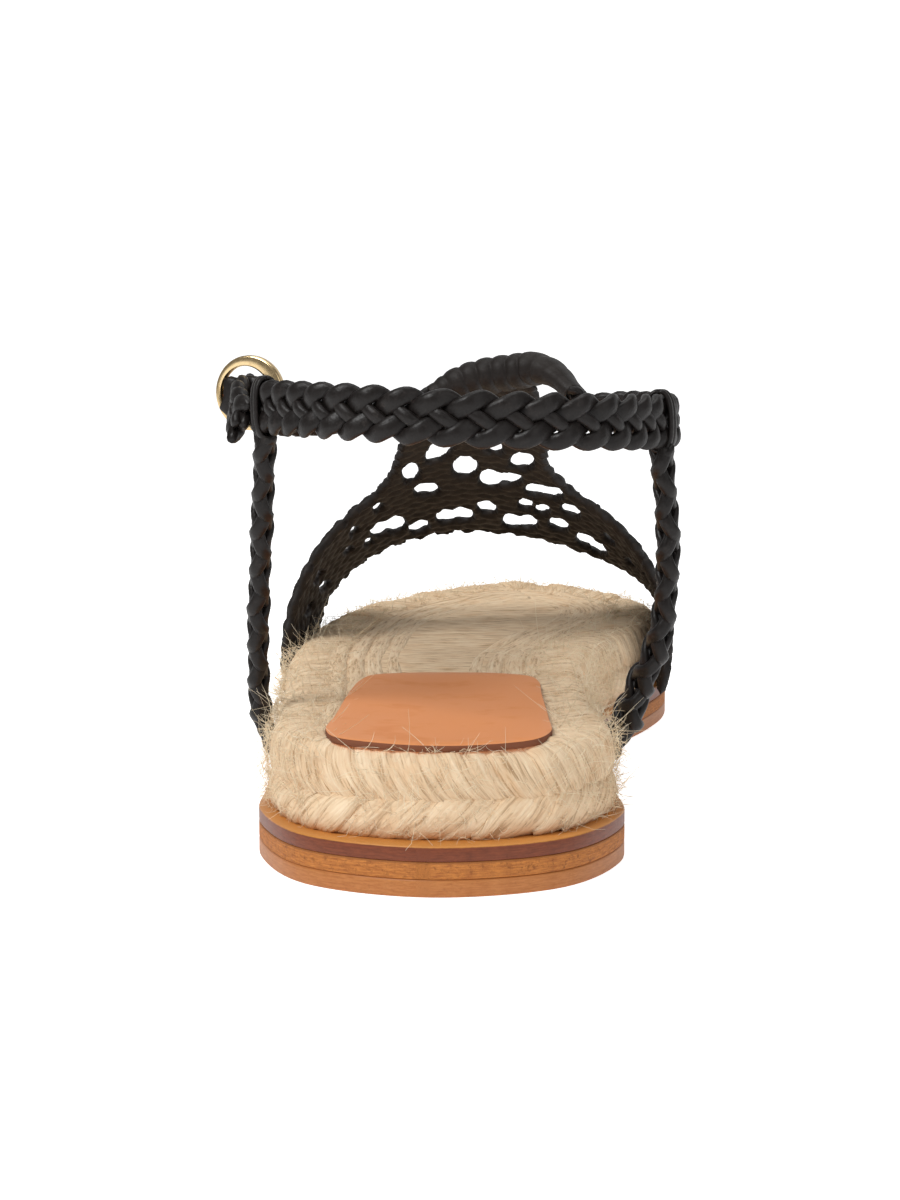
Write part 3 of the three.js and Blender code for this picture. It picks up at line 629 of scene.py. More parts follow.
@dataclass
class SoleShape:
    """Outline and curve of the sole, which every piece on it follows. Lengths in millimetres."""

    length: float = 250.0
    heel: float = 69.5
    ball: float = 90.0
    arch_rise: float = 0.8
    toe_spring: float = 2.2
    stack_top: float = 9.4
    side_rim: float = 2.9
    heel_rim: float = 5.2
    rows: list[tuple[float, ...]] = field(default_factory=lambda: [
        (0.036, 69.5, 0.337, 0.337), (0.125, 69.5, 0.5, 0.495), (0.2, 69.5, 0.52, 0.482),
        (0.27, 69.5, 0.538, 0.443), (0.36, 90, 0.437, 0.325), (0.46, 90, 0.464, 0.318),
        (0.54, 90, 0.472, 0.343), (0.62, 90, 0.473, 0.388),
        (0.7, 90, 0.459, 0.46), (0.77, 90, 0.43, 0.505), (0.83, 90, 0.375, 0.51), (0.885, 90, 0.3, 0.47),
        (0.935, 90, 0.2, 0.375), (0.977, 90, 0.075, 0.24),
    ])

    def __post_init__(self) -> None:
        """Joins the two sides into one closed outline."""
        medial = [(of * right, from_heel_back(at * self.length)) for at, of, _, right in self.rows]
        lateral = [(-of * left, from_heel_back(at * self.length)) for at, of, left, _ in self.rows]
        heel = [(0.0, from_heel_back(0.0))]
        toe = [(0.075 * self.ball, from_heel_back(self.length))]
        self.outline = Path(np.array(heel + medial + toe + lateral[::-1]), closed=True)

    def underside(self, y: Array) -> Array:
        """Rise of the sole above the floor at places along it."""
        at = np.clip((np.asarray(y) + HEEL_CENTRE) / self.length, 0, 1)
        from_arch = np.minimum(np.abs(at - 0.475) / 0.1, 1)
        past_ball = np.maximum(at - 0.72, 0) / 0.28
        return self.arch_rise * (1 - from_arch**2) ** 2 + self.toe_spring * past_ball**2

    def rim(self, share: Array) -> Array:
        """How far the jute stands in from the leather at shares of the outline."""
        share = np.mod(share, 1.0)
        behind = np.clip(np.minimum(share, 1 - share) / 0.09, 0, 1)
        return self.heel_rim + (self.side_rim - self.heel_rim) * behind**2 * (3 - 2 * behind)

    def place(self, share: Array, inset: Array, height: Array) -> Array:
        """Points over the outline, moved inwards and lifted onto the sole's curve."""
        point, along = self.outline.at(share), self.outline.along(share)
        x = point[..., 0] - along[..., 1] * inset
        y = point[..., 1] + along[..., 0] * inset
        return np.stack([x, y, height + self.underside(y)], -1)

    def reach(self, y: float, side: Side) -> float:
        """Reach of the leather to one side at a place along the sole."""
        dense = self.outline.dense
        own = dense[np.sign(dense[:, 0]) == side.value]
        return float(abs(own[np.argmin(np.abs(own[:, 1] - y)), 0]))


@dataclass
class Slab:
    """A flat layer with rounded rims, bent onto the sole's curve."""

    shape: SoleShape
    bottom: float
    thickness: float
    rounding: float = 0.5
    inset: float = 0.0
    corners: int = 220
    slice_every: float = 5.0

    def mesh(self) -> bmesh.types.BMesh:
        """Builds the layer from one face, raised, rounded, sliced and bent."""
        bm = empty_mesh()
        shares = np.arange(self.corners) / self.corners
        inset = self.inset + (self.shape.rim(shares) if self.inset else 0.0)
        around = self.shape.place(shares, inset, 0.0)
        base = bm.faces.new([bm.verts.new((x, y, self.bottom)) for x, y, _ in around.tolist()])
        grown = bmesh.ops.extrude_face_region(bm, geom=[base])["geom"]
        top = [item for item in grown if isinstance(item, bmesh.types.BMVert)]
        bmesh.ops.translate(bm, verts=top, vec=(0, 0, self.thickness))
        bmesh.ops.recalc_face_normals(bm, faces=bm.faces)
        rims = [edge for edge in bm.edges if abs(edge.verts[0].co.z - edge.verts[1].co.z) < 1e-6]
        bmesh.ops.bevel(bm, geom=rims, offset=self.rounding, offset_type="OFFSET", segments=3, profile=0.5,
                        affect="EDGES", material=-1)
        for y in np.arange(-25.0, 218.0, self.slice_every):
            whole = list(bm.verts) + list(bm.edges) + list(bm.faces)
            bmesh.ops.bisect_plane(bm, geom=whole, plane_co=(0, y, 0), plane_no=(0, 1, 0))
        self._mark_and_bend(bm)
        return bm

    def _mark_and_bend(self, bm: bmesh.types.BMesh) -> None:
        """Stores each vertex's height in the layer and its way round, then lifts it onto the curve."""
        strand = bm.verts.layers.float_vector["strand"]
        dense, reached = self.shape.outline.dense, self.shape.outline.reached
        for vert in bm.verts:
            nearest = int(np.argmin((dense[:, 0] - vert.co.x) ** 2 + (dense[:, 1] - vert.co.y) ** 2))
            vert[strand] = (vert.co.z - self.bottom, 0.0, reached[nearest])
            vert.co.z += float(self.shape.underside(vert.co.y))


@dataclass
class LeatherSole:
    """The stack of three leather layers."""

    shape: SoleShape
    effects: Effects
    outsole: float = 3.2
    middle: float = 2.9
    top: float = 2.7
    gap: float = 0.3

    def build(self) -> None:
        """Builds and dresses the three layers, which touch where the solids leave a gap."""
        smooth = SoleEdge("sole_leather_smooth", self.effects, (0.54, 0.215, 0.066), (0.42, 0.145, 0.04),
                          (0.45, 0.17, 0.05), 3.1, 0.25, 0.4, 0.07)
        rough = SoleEdge("sole_leather_rough", self.effects, (0.6, 0.225, 0.05), (0.36, 0.115, 0.028),
                         (0.34, 0.12, 0.03), 2.85, 0.75, 0.65, 0.3)
        dark = SoleEdge("sole_leather_dark", self.effects, (0.235, 0.06, 0.024), (0.15, 0.038, 0.016),
                        (0.62, 0.26, 0.06), 2.62, 0.3, 0.38, 0.09)
        middle_from = self.outsole + self.gap
        top_from = middle_from + self.middle + self.gap
        layers = [
            ("outsole", 0.0, self.outsole + self.gap * 0.5, 0.45, smooth),
            ("middle_sole", middle_from - self.gap * 0.5, self.middle + self.gap, 0.25, rough),
            ("top_sole", top_from - self.gap * 0.5, self.top + self.gap * 0.5, 0.3, dark),
        ]
        for name, bottom, thickness, rounding, finish in layers:
            bm = Slab(self.shape, bottom, thickness, rounding).mesh()
            finish_piece(bm, f"{name}_leather", finish.material(), finish.name, name)


# Jute


@dataclass
class JuteFootbed:
    """Wrapped strands over the edge, braided strands below them, cords on top, a core and loose hairs."""

    shape: SoleShape
    effects: Effects
    bottom: float = 9.7
    height: float = 16.1
    pitch: float = 5.15
    half_width: float = 2.75
    half_depth: float = 1.35
    seed: int = 7
    wall_hairs: int = 7000
    top_hairs: int = 5000
    # Where hairs are cut short: half the pad's width, its span along Y, and the band's feet on each side.
    pad_reach: float = 20.5
    pad_span: tuple[float, float] = (-24.0, 59.0)
    band_middle: tuple[float, float] = (135.0, 157.0)
    band_reach: float = 31.0
    # Way of a strand from the footbed's top over its edge into the groove, and of one below the groove:
    # steps along the edge in pitches, inset from the jute's edge, height as a share of the jute's.
    upper_way: tuple = (
        (-1.5, 13.0, 0.9), (-1.1, 9.5, 0.93), (-0.75, 6.0, 0.935), (-0.4, 3.1, 0.93), (-0.15, 1.45, 0.88),
        (0.1, 0.75, 0.76), (0.4, 0.45, 0.63), (0.8, 0.55, 0.5), (1.25, 1.1, 0.4), (1.6, 2.2, 0.34),
    )
    lower_way: tuple = (
        (1.75, 2.2, 0.44), (1.4, 1.1, 0.4), (1.0, 0.6, 0.32), (0.6, 0.4, 0.22), (0.2, 0.5, 0.12),
        (-0.15, 1.0, 0.04), (-0.4, 1.9, 0.0),
    )

    def build(self) -> None:
        """Builds and dresses all pieces of the footbed."""
        jute = Jute("jute", self.effects).material()
        rng = np.random.default_rng(self.seed)
        self._core(jute)
        self._row("jute_wrapped_strands", self.upper_way, self.pitch, self.half_width, self.half_depth,
                  rng, jute)
        self._row("jute_braided_strands", self.lower_way, self.pitch * 1.3, self.half_width * 1.28,
                  self.half_depth * 1.25, rng, jute)
        self._cords(rng, jute)
        hair = Jute("jute_hair", self.effects, (0.6, 0.43, 0.25), (0.86, 0.7, 0.48), (0.97, 0.87, 0.68))
        self._hairs(rng, hair.material())

    def _core(self, material: bpy.types.Material) -> None:
        """The block under the strands."""
        bm = Slab(self.shape, self.bottom, self.height - 0.75, 2.2, 1.5, 160).mesh()
        strand = bm.verts.layers.float_vector["strand"]
        for vert in bm.verts:
            vert[strand] = (vert.co.y * 0.45, vert.co.z, vert.co.x * 1.2)
        finish_piece(bm, "jute_core", material, "jute", "jute_footbed")

    def _row(self, name: str, way: tuple, pitch: float, wide: float, deep: float, rng: np.random.Generator,
             material: bpy.types.Material) -> None:
        """A row of strands around the whole edge.

        Args:
            name: the piece's name.
            way: places that each strand runs through.
            pitch: distance between strands along the edge.
            wide: half the strand's width.
            deep: half the strand's depth.
            rng: source of the small differences between strands.
            material: the finish.
        """
        bm = empty_mesh()
        count = round(self.shape.outline.length / pitch)
        places = np.array(way)
        fine = np.linspace(0, 1, 15)
        for number in range(count):
            swing = rng.normal(0, 1, 5)
            share = (number + places[:, 0] + 0.07 * swing[0]) / count
            inset = self.shape.rim(share) + places[:, 1] + 0.12 * swing[1]
            height = self.bottom + np.clip(places[:, 2] + 0.012 * swing[2], 0.015, 1) * self.height
            line = Path(self.shape.place(share, inset, height))
            centres = line.at(fine)
            around = self.shape.outline.along(share.mean() + np.zeros(len(fine)))
            level = np.column_stack([around, np.zeros(len(fine))])
            along = unit(np.gradient(centres, axis=0))
            runs_down = places[0, 1] > places[-1, 1] and places[0, 2] < 0.6
            facing = np.cross(level, along) * (-1 if runs_down else 1)
            swell = 0.62 + 0.38 * np.sin(np.pi * np.clip(fine * 1.1 - 0.05, 0.08, 0.92))
            rings = rings_along(centres, facing, wide * swell * (1 + 0.07 * swing[3]), deep * swell, 0.85)
            add_tube(bm, rings, 12, number * 7.3, float(np.clip(0.5 + 0.22 * swing[4], 0, 1)))
        close_tubes(bm)
        finish_piece(bm, name, material, "jute", "jute_footbed")

    def _cords(self, rng: np.random.Generator, material: bpy.types.Material) -> None:
        """Cords on the top that run round with the edge."""
        bm = empty_mesh()
        shares = np.linspace(0, 1, 260)
        for number, inset in enumerate((10.5, 14.6, 18.7, 22.8)):
            height = self.bottom + self.height - 1.15
            centres = self.shape.place(shares, self.shape.rim(shares) + inset, height)
            centres[:, 2] += 0.1 * np.sin(shares * 60 + number) - 0.12 * number
            facing = np.tile([0.0, 0.0, 1.0], (len(shares), 1))
            rings = rings_along(centres, facing, 2.35, 1.0, 0.9)
            add_tube(bm, rings, 10, number * 31.0, float(rng.uniform(0.3, 0.7)))
        close_tubes(bm)
        finish_piece(bm, "jute_top_cords", material, "jute", "jute_footbed")

    def _hairs(self, rng: np.random.Generator, material: bpy.types.Material) -> None:
        """Loose hairs that stand out of the wall and of the top."""
        kinds = (("jute_wall_hairs", self.wall_hairs, False), ("jute_top_hairs", self.top_hairs, True))
        for name, count, on_top in kinds:
            share = rng.uniform(0, 1, count)
            if on_top:
                inset, level = rng.uniform(0.3, 13, count), np.full(count, self.height - 0.3)
            else:
                inset = rng.uniform(-1.0, -0.3, count)
                level = rng.uniform(0.02, 0.98, count) * self.height
            root = self.shape.place(share, self.shape.rim(share) + inset - 0.6, self.bottom + level)
            around = np.column_stack([self.shape.outline.along(share), np.zeros(count)])
            outward = np.column_stack([around[:, 1], -around[:, 0], np.zeros(count)])
            upward = np.tile([0.0, 0.0, 1.0], (count, 1))
            covered = self._covered(root, on_top)
            lean = rng.normal(0, 1, (count, 3))
            rise = 0.45 * np.abs(lean[:, 1:2])
            way = around * lean[:, :1] + (upward if on_top else outward) * rise
            way = unit(way + (outward if on_top else upward) * lean[:, 2:] * 0.8)
            bend = unit(rng.normal(0, 1, (count, 3)))
            long = np.where(covered, 0.15, rng.gamma(2.4, 1.15, count))[:, None]
            points = [root + way * long * t + bend * long * 0.5 * t**2 for t in np.linspace(0, 1, 5)]
            points = np.stack(points, 1)
            floor = self.shape.stack_top + 0.3 + self.shape.underside(points[..., 1])
            points[..., 2] = np.maximum(points[..., 2], floor)
            self._threads(name, points, rng.uniform(0.04, 0.085, count), material)

    def _covered(self, root: Array, on_top: bool) -> Array:
        """Which hairs stand under the pad or the band."""
        x, y = root[:, 0], root[:, 1]
        on_pad = (np.abs(x) < self.pad_reach) & (y > self.pad_span[0]) & (y < self.pad_span[1])
        if on_top:
            return on_pad
        middle = np.where(x < 0, self.band_middle[0], self.band_middle[1])
        return on_pad | (np.abs(y - middle) < self.band_reach)

    @staticmethod
    def _threads(name: str, points: Array, radius: Array, material: bpy.types.Material) -> None:
        """Shapes one grid into many thin three-sided threads.

        Args:
            name: the piece's name.
            points: for each thread its points.
            radius: for each thread its radius.
            material: the finish.
        """
        count, joints, _ = points.shape
        along = unit(np.gradient(points, axis=1))
        first = unit(np.cross(along, np.array([0.31, 0.52, 0.79])))
        second = np.cross(along, first)
        bm = empty_mesh()
        made = bmesh.ops.create_grid(bm, x_segments=joints - 1, y_segments=4 * count - 1, size=0.5)["verts"]
        flat = np.array([vert.co[:2] for vert in made]) + 0.5
        joint = np.rint(flat[:, 0] * (joints - 1)).astype(int)
        line = np.rint(flat[:, 1] * (4 * count - 1)).astype(int)
        thread, corner = line // 4, line % 4
        angle = (corner % 3) * 2 * math.pi / 3
        thick = radius[thread] * (1 - 0.65 * joint / (joints - 1))
        off = first[thread, joint] * np.cos(angle)[:, None] + second[thread, joint] * np.sin(angle)[:, None]
        spots = points[thread, joint] + off * thick[:, None]
        strand, tint = bm.verts.layers.float_vector["strand"], bm.verts.layers.float["tint"]
        line_of = {}
        for vert, spot, number, row in zip(made, spots.tolist(), thread.tolist(), line.tolist()):
            vert.co = spot
            vert[strand] = (float(number), 0.0, 0.0)
            vert[tint] = number % 7 / 7
            line_of[vert] = row
        between = [face for face in bm.faces if min(line_of[vert] for vert in face.verts) % 4 == 3]
        bmesh.ops.delete(bm, geom=between, context="FACES")
        bmesh.ops.remove_doubles(bm, verts=bm.verts, dist=1e-5)
        bmesh.ops.holes_fill(bm, edges=[edge for edge in bm.edges if edge.is_boundary], sides=3)
        bmesh.ops.recalc_face_normals(bm, faces=bm.faces)
        finish_piece(bm, name, material, "jute", "jute_footbed")


@dataclass
class HeelPad:
    """A flat leather pad on the jute, its cut edge darker than its face."""

    effects: Effects
    top: float = 25.8
    length: float = 84.0
    width: float = 42.0
    thickness: float = 1.3
    setback: float = 6.5

    def outline(self) -> Array:
        """Outline of the pad as smooth points in plan."""
        half, rear = self.width / 2, float(from_heel_back(self.setback))
        front = rear + self.length
        points = [
            (0, rear - 0.3), (half * 0.5, rear + 1.3), (half * 0.86, rear + 5.5), (half, rear + 14),
            (half * 0.97, rear + 30), (half * 0.87, front - 26), (half * 0.82, front - 10),
            (half * 0.72, front - 2.6), (half * 0.45, front),
            (0, front + 0.2), (-half * 0.6, front), (-half * 0.86, front - 2.6), (-half * 0.95, front - 10),
            (-half * 0.99, front - 26), (-half, rear + 30), (-half, rear + 14), (-half * 0.86, rear + 5.5),
            (-half * 0.5, rear + 1.3),
        ]
        return Path(np.array(points), closed=True).at(np.arange(120) / 120)

    def build(self) -> None:
        """Builds the pad: one face, raised, rounded, sliced and pressed gently into the jute."""
        bm = empty_mesh()
        base = bm.faces.new([bm.verts.new((x, y, 0.0)) for x, y in self.outline().tolist()])
        grown = bmesh.ops.extrude_face_region(bm, geom=[base])["geom"]
        top = [item for item in grown if isinstance(item, bmesh.types.BMVert)]
        bmesh.ops.translate(bm, verts=top, vec=(0, 0, self.thickness))
        bmesh.ops.recalc_face_normals(bm, faces=bm.faces)
        rims = [edge for edge in bm.edges if all(vert.co.z > 0.5 for vert in edge.verts)]
        bmesh.ops.bevel(bm, geom=rims, offset=0.28, offset_type="OFFSET", segments=2, profile=0.5,
                        affect="EDGES", material=-1)
        for axis, places in ((1, np.arange(-20.0, 58.0, 4.0)), (0, np.arange(-18.0, 19.0, 4.0))):
            for place in places:
                point, normal = [0.0, 0.0, 0.0], [0.0, 0.0, 0.0]
                point[axis], normal[axis] = float(place), 1.0
                whole = list(bm.verts) + list(bm.edges) + list(bm.faces)
                bmesh.ops.bisect_plane(bm, geom=whole, plane_co=point, plane_no=normal)
        for vert in bm.verts:
            x, y = vert.co.x, vert.co.y
            sway = 0.16 * math.sin(x * 0.16 + 1.3) * math.sin(y * 0.11 + 0.6)
            hollow = -0.55 * max(0.0, 1 - (x / 19) ** 2) * max(0.0, 1 - ((y - 14) / 36) ** 2)
            vert.co.z += self.top - 0.25 + sway + hollow
        edge = SmoothLeather("pad_cut_edge", self.effects, (0.2, 0.06, 0.022), (0.12, 0.035, 0.014), 0.75)
        face = SmoothLeather("pad_leather", self.effects)
        cut = edge.material()
        pad = finish_piece(bm, "heel_pad_leather", face.material(), "pad_leather", "heel_pad")
        pad.data.materials.append(cut)
        for polygon in pad.data.polygons:
            polygon.material_index = int(abs(polygon.normal.z) < 0.45)


# Straps


@dataclass
class StrapFrames:
    """Places along a flat strap and how it lies there."""

    centres: Array
    outs: Array
    ups: Array
    widths: Array
    reached: Array


@dataclass
class AnkleLine:
    """Way of the ankle strap. Rows: turn, out, lift, lean, width share, pitch of the braid."""

    height: float = 82.6
    half_width: float = 40.3
    half_length: float = 44.0
    centre_x: float = 3.0
    centre_at: float = 51.0
    width: float = 10.6
    rows: list[tuple[float, ...]] = field(default_factory=lambda: [
        (-84, -1.8, 2.6, 0, 0.8, 4.6), (-75, -0.6, 2.9, 0, 0.93, 4.9), (-58, 0, 3.7, 0, 1, 5.3),
        (-30, 0, 3.9, 0, 1, 5.6), (0, 0, 3.1, 0, 1, 6.8), (40, 0, 1.9, 0, 1, 6.9), (90, 0, 0.3, 4, 1, 5.2),
        (122, -0.4, 0, 24, 1, 5.2), (135, -0.5, 0, 44, 1, 5.2), (142, -0.5, 0.6, 58, 1, 5.2),
        (148, -0.4, 3.4, 70, 1, 5.2), (154, -0.2, 6.9, 80, 1, 5.2), (160, 0, 8.5, 85, 1, 5.4),
        (167, 0, 7.9, 84, 1, 5.4), (177, 0, 6.6, 78, 1, 5.4), (184, 0, 4.6, 70, 1, 5.2),
        (190, 0, 2.2, 60, 1, 5.2), (197, -0.2, 0.6, 52, 1, 5.2), (206, -0.4, 0, 40, 1, 5.2),
        (220, -0.4, 0, 28, 1, 5.2), (245, 0.2, 0.8, 8, 1, 4.8), (258, 0.8, 3, 0, 0.85, 4.6),
        (270, 1.9, 4.9, 0, 0.72, 4.4), (280, 3.3, 3.2, 8, 0.86, 4.4), (290, 3.6, 0.7, 18, 0.9, 4.4),
    ])

    def __post_init__(self) -> None:
        """Lays the path through the rows."""
        table = np.array(self.rows)
        turn = np.radians(table[:, 0])
        x = self.centre_x + (self.half_width + table[:, 1]) * np.sin(turn)
        y = from_heel_back(self.centre_at) - (self.half_length + table[:, 1]) * np.cos(turn)
        self.path = Path(np.stack([x, y, self.height + table[:, 2]], -1))

    def read(self, shares: Array, number: int) -> Array:
        """A column of the rows at shares of the strap's length."""
        table = np.array(self.rows)
        return np.interp(self.path.place(shares), np.arange(len(table)), table[:, number])

    def frames(self, shares: Array) -> StrapFrames:
        """Places and directions at shares of the strap's length."""
        along = self.path.along(shares)
        level = unit(np.stack([along[:, 1], -along[:, 0], np.zeros(len(along))], -1))
        lean = np.radians(self.read(shares, 3))[:, None]
        out = level * np.cos(lean) + np.array([0.0, 0.0, 1.0]) * np.sin(lean)
        ups = unit(np.cross(out, along))
        outs = unit(np.cross(along, ups))
        widths = self.read(shares, 4) * self.width
        return StrapFrames(self.path.at(shares), outs, ups, widths, np.asarray(shares) * self.path.length)

    def share_at(self, turn: float) -> float:
        """Share of the length at a turn around the ankle."""
        place = np.interp(turn, [row[0] for row in self.rows], np.arange(len(self.rows)))
        return self.path.share_of(float(place))


@dataclass
class FlatBraid:
    """Four strands woven over and under each other into a flat strap."""

    half_width: float
    half_depth: float
    weave: float
    full_width: float
    around: int = 12
    squareness: float = 0.8

    def mesh(self, frames: StrapFrames, pitch: Array) -> bmesh.types.BMesh:
        """Weaves the braid along a strap.

        Args:
            frames: closely spaced places along the strap.
            pitch: at each place, the distance between neighbouring strands on one edge.

        Returns:
            The mesh of the four strands.
        """
        bm = empty_mesh()
        steps = np.diff(frames.reached, prepend=frames.reached[0])
        phase = np.cumsum(steps / pitch) * math.pi / 2
        swing = (self.full_width / 2 - self.half_width) * frames.widths / self.full_width
        for strand in range(4):
            theta = phase + strand * math.pi / 2
            across = -np.arcsin(0.96 * np.cos(theta)) / math.asin(0.96) * swing
            out = self.weave * np.sin(3 * theta)
            centres = frames.centres + frames.ups * across[:, None] + frames.outs * out[:, None]
            plump = 1 + 0.24 * np.sin(theta)
            rings = rings_along(centres, frames.outs, self.half_width * plump, self.half_depth,
                                self.squareness)
            add_tube(bm, rings, self.around, strand * 41.0, 0.0)
        close_tubes(bm)
        return bm


@dataclass
class AnkleStrap:
    """The braided strap around the ankle."""

    line: AnkleLine
    leather: bpy.types.Material
    spacing: float = 0.55

    def build(self) -> None:
        """Weaves and dresses the strap."""
        shares = np.linspace(0, 1, round(self.line.path.length / self.spacing))
        braid = FlatBraid(half_width=1.6, half_depth=1.02, weave=0.85, full_width=self.line.width)
        bm = braid.mesh(self.line.frames(shares), self.line.read(shares, 5))
        finish_piece(bm, "ankle_strap_braid", self.leather, "braid_leather", "ankle_strap")


@dataclass
class RoundBraid:
    """Four strands wound both ways around a core line, each over and under the others in turn."""

    half_width: float = 1.42
    half_depth: float = 0.9
    wide: float = 2.15
    deep: float = 1.25
    turn_length: float = 17.0
    weave: float = 0.24

    def mesh(self, frames: StrapFrames, spread: Array) -> bmesh.types.BMesh:
        """Winds the braid along a line.

        Args:
            frames: closely spaced places along the line.
            spread: share of the full size at each place.

        Returns:
            The mesh of the four strands.
        """
        bm = empty_mesh()
        for strand in range(4):
            way = 1 if strand < 2 else -1
            angle = way * 2 * math.pi * frames.reached / self.turn_length + strand * math.pi + math.pi / 2
            over = 1 + way * self.weave * np.cos(2 * angle)
            turned = angle + math.pi / 4
            side = frames.ups * (np.cos(turned) * self.wide * over * spread)[:, None]
            out = frames.outs * (np.sin(turned) * self.deep * over * spread)[:, None]
            off = side + out
            rings = rings_along(frames.centres + off, off, self.half_width, self.half_depth, 0.85)
            add_tube(bm, rings, 10, strand * 23.0, 0.0)
        close_tubes(bm)
        return bm


@dataclass
class SideStrap:
    """A braid from the ankle strap down into the jute's groove.

    Rows: way down, place, reach, the last two as shares of the heel's width.
    """

    side: Side
    turn: float
    rows: tuple
    line: AnkleLine
    shape: SoleShape
    leather: bpy.types.Material
    seat: float
    size: float
    fan: float
    width: float = 6.8
    thickness: float = 3.4
    foot_place: float = 0.91
    foot_height: float = 15.5

    def path(self) -> Path:
        """The strap's middle line."""
        frame_here = self.line.frames(np.array([self.line.share_at(self.turn)]))
        top = frame_here.centres[0] - frame_here.ups[0] * (self.line.width / 2 - 0.6)
        y = float(from_heel_back(self.foot_place * self.shape.heel))
        jute = self.shape.reach(y, self.side) - self.shape.side_rim + 0.45 - self.seat
        reach = jute + self.thickness / 2 - 0.6
        points = [top]
        for down, place, out in self.rows:
            points.append((self.side.value * out * self.shape.heel, from_heel_back(place * self.shape.heel),
                           top[2] + (self.foot_height - top[2]) * down))
        points.append((self.side.value * reach, y, self.foot_height))
        return Path(np.array(points))

    def build(self) -> None:
        """Winds the strap, and the loop that holds it on the ankle strap."""
        path = self.path()
        shares = np.linspace(0, 1, round(path.length / 0.5))
        along = path.along(shares)
        outward = np.tile([float(self.side.value), 0.0, 0.0], (len(shares), 1))
        ups = unit(np.cross(outward, along))
        outs = unit(np.cross(along, ups))
        widths = np.full(len(shares), self.width)
        frames = StrapFrames(path.at(shares), outs, ups, widths, shares * path.length)
        spread = self.size + 0.08 * np.cos(shares * 23) + self.fan * np.clip((shares - 0.45) / 0.4, 0, 1)
        bm = RoundBraid().mesh(frames, spread)
        name = self.side.name.lower()
        finish_piece(bm, f"side_strap_{name}_braid", self.leather, "braid_leather", f"side_strap_{name}")
        self._loop(name)

    def _loop(self, name: str) -> None:
        """Two strands wrapped tightly around the ankle strap above the side strap."""
        bm = empty_mesh()
        angles = np.linspace(0, 2 * math.pi, 36)
        for number, shift in enumerate((-0.9, 0.9)):
            share = self.line.share_at(self.turn) + (shift + 0.5 * np.sin(angles)) / self.line.path.length
            here = self.line.frames(share)
            up = np.sign(np.cos(angles)) * np.abs(np.cos(angles)) ** 0.75 * (self.line.width / 2 + 0.35)
            out = np.sign(np.sin(angles)) * np.abs(np.sin(angles)) ** 0.75 * 2.2
            centres = here.centres + here.ups * up[:, None] + here.outs * out[:, None]
            facing = here.ups * np.cos(angles)[:, None] + here.outs * np.sin(angles)[:, None]
            add_tube(bm, rings_along(centres, facing, 0.95, 0.5, 0.85), 8, number * 17.0, 0.0)
        close_tubes(bm)
        finish_piece(bm, f"side_strap_{name}_loop", self.leather, "braid_leather", f"side_strap_{name}")


# Upper


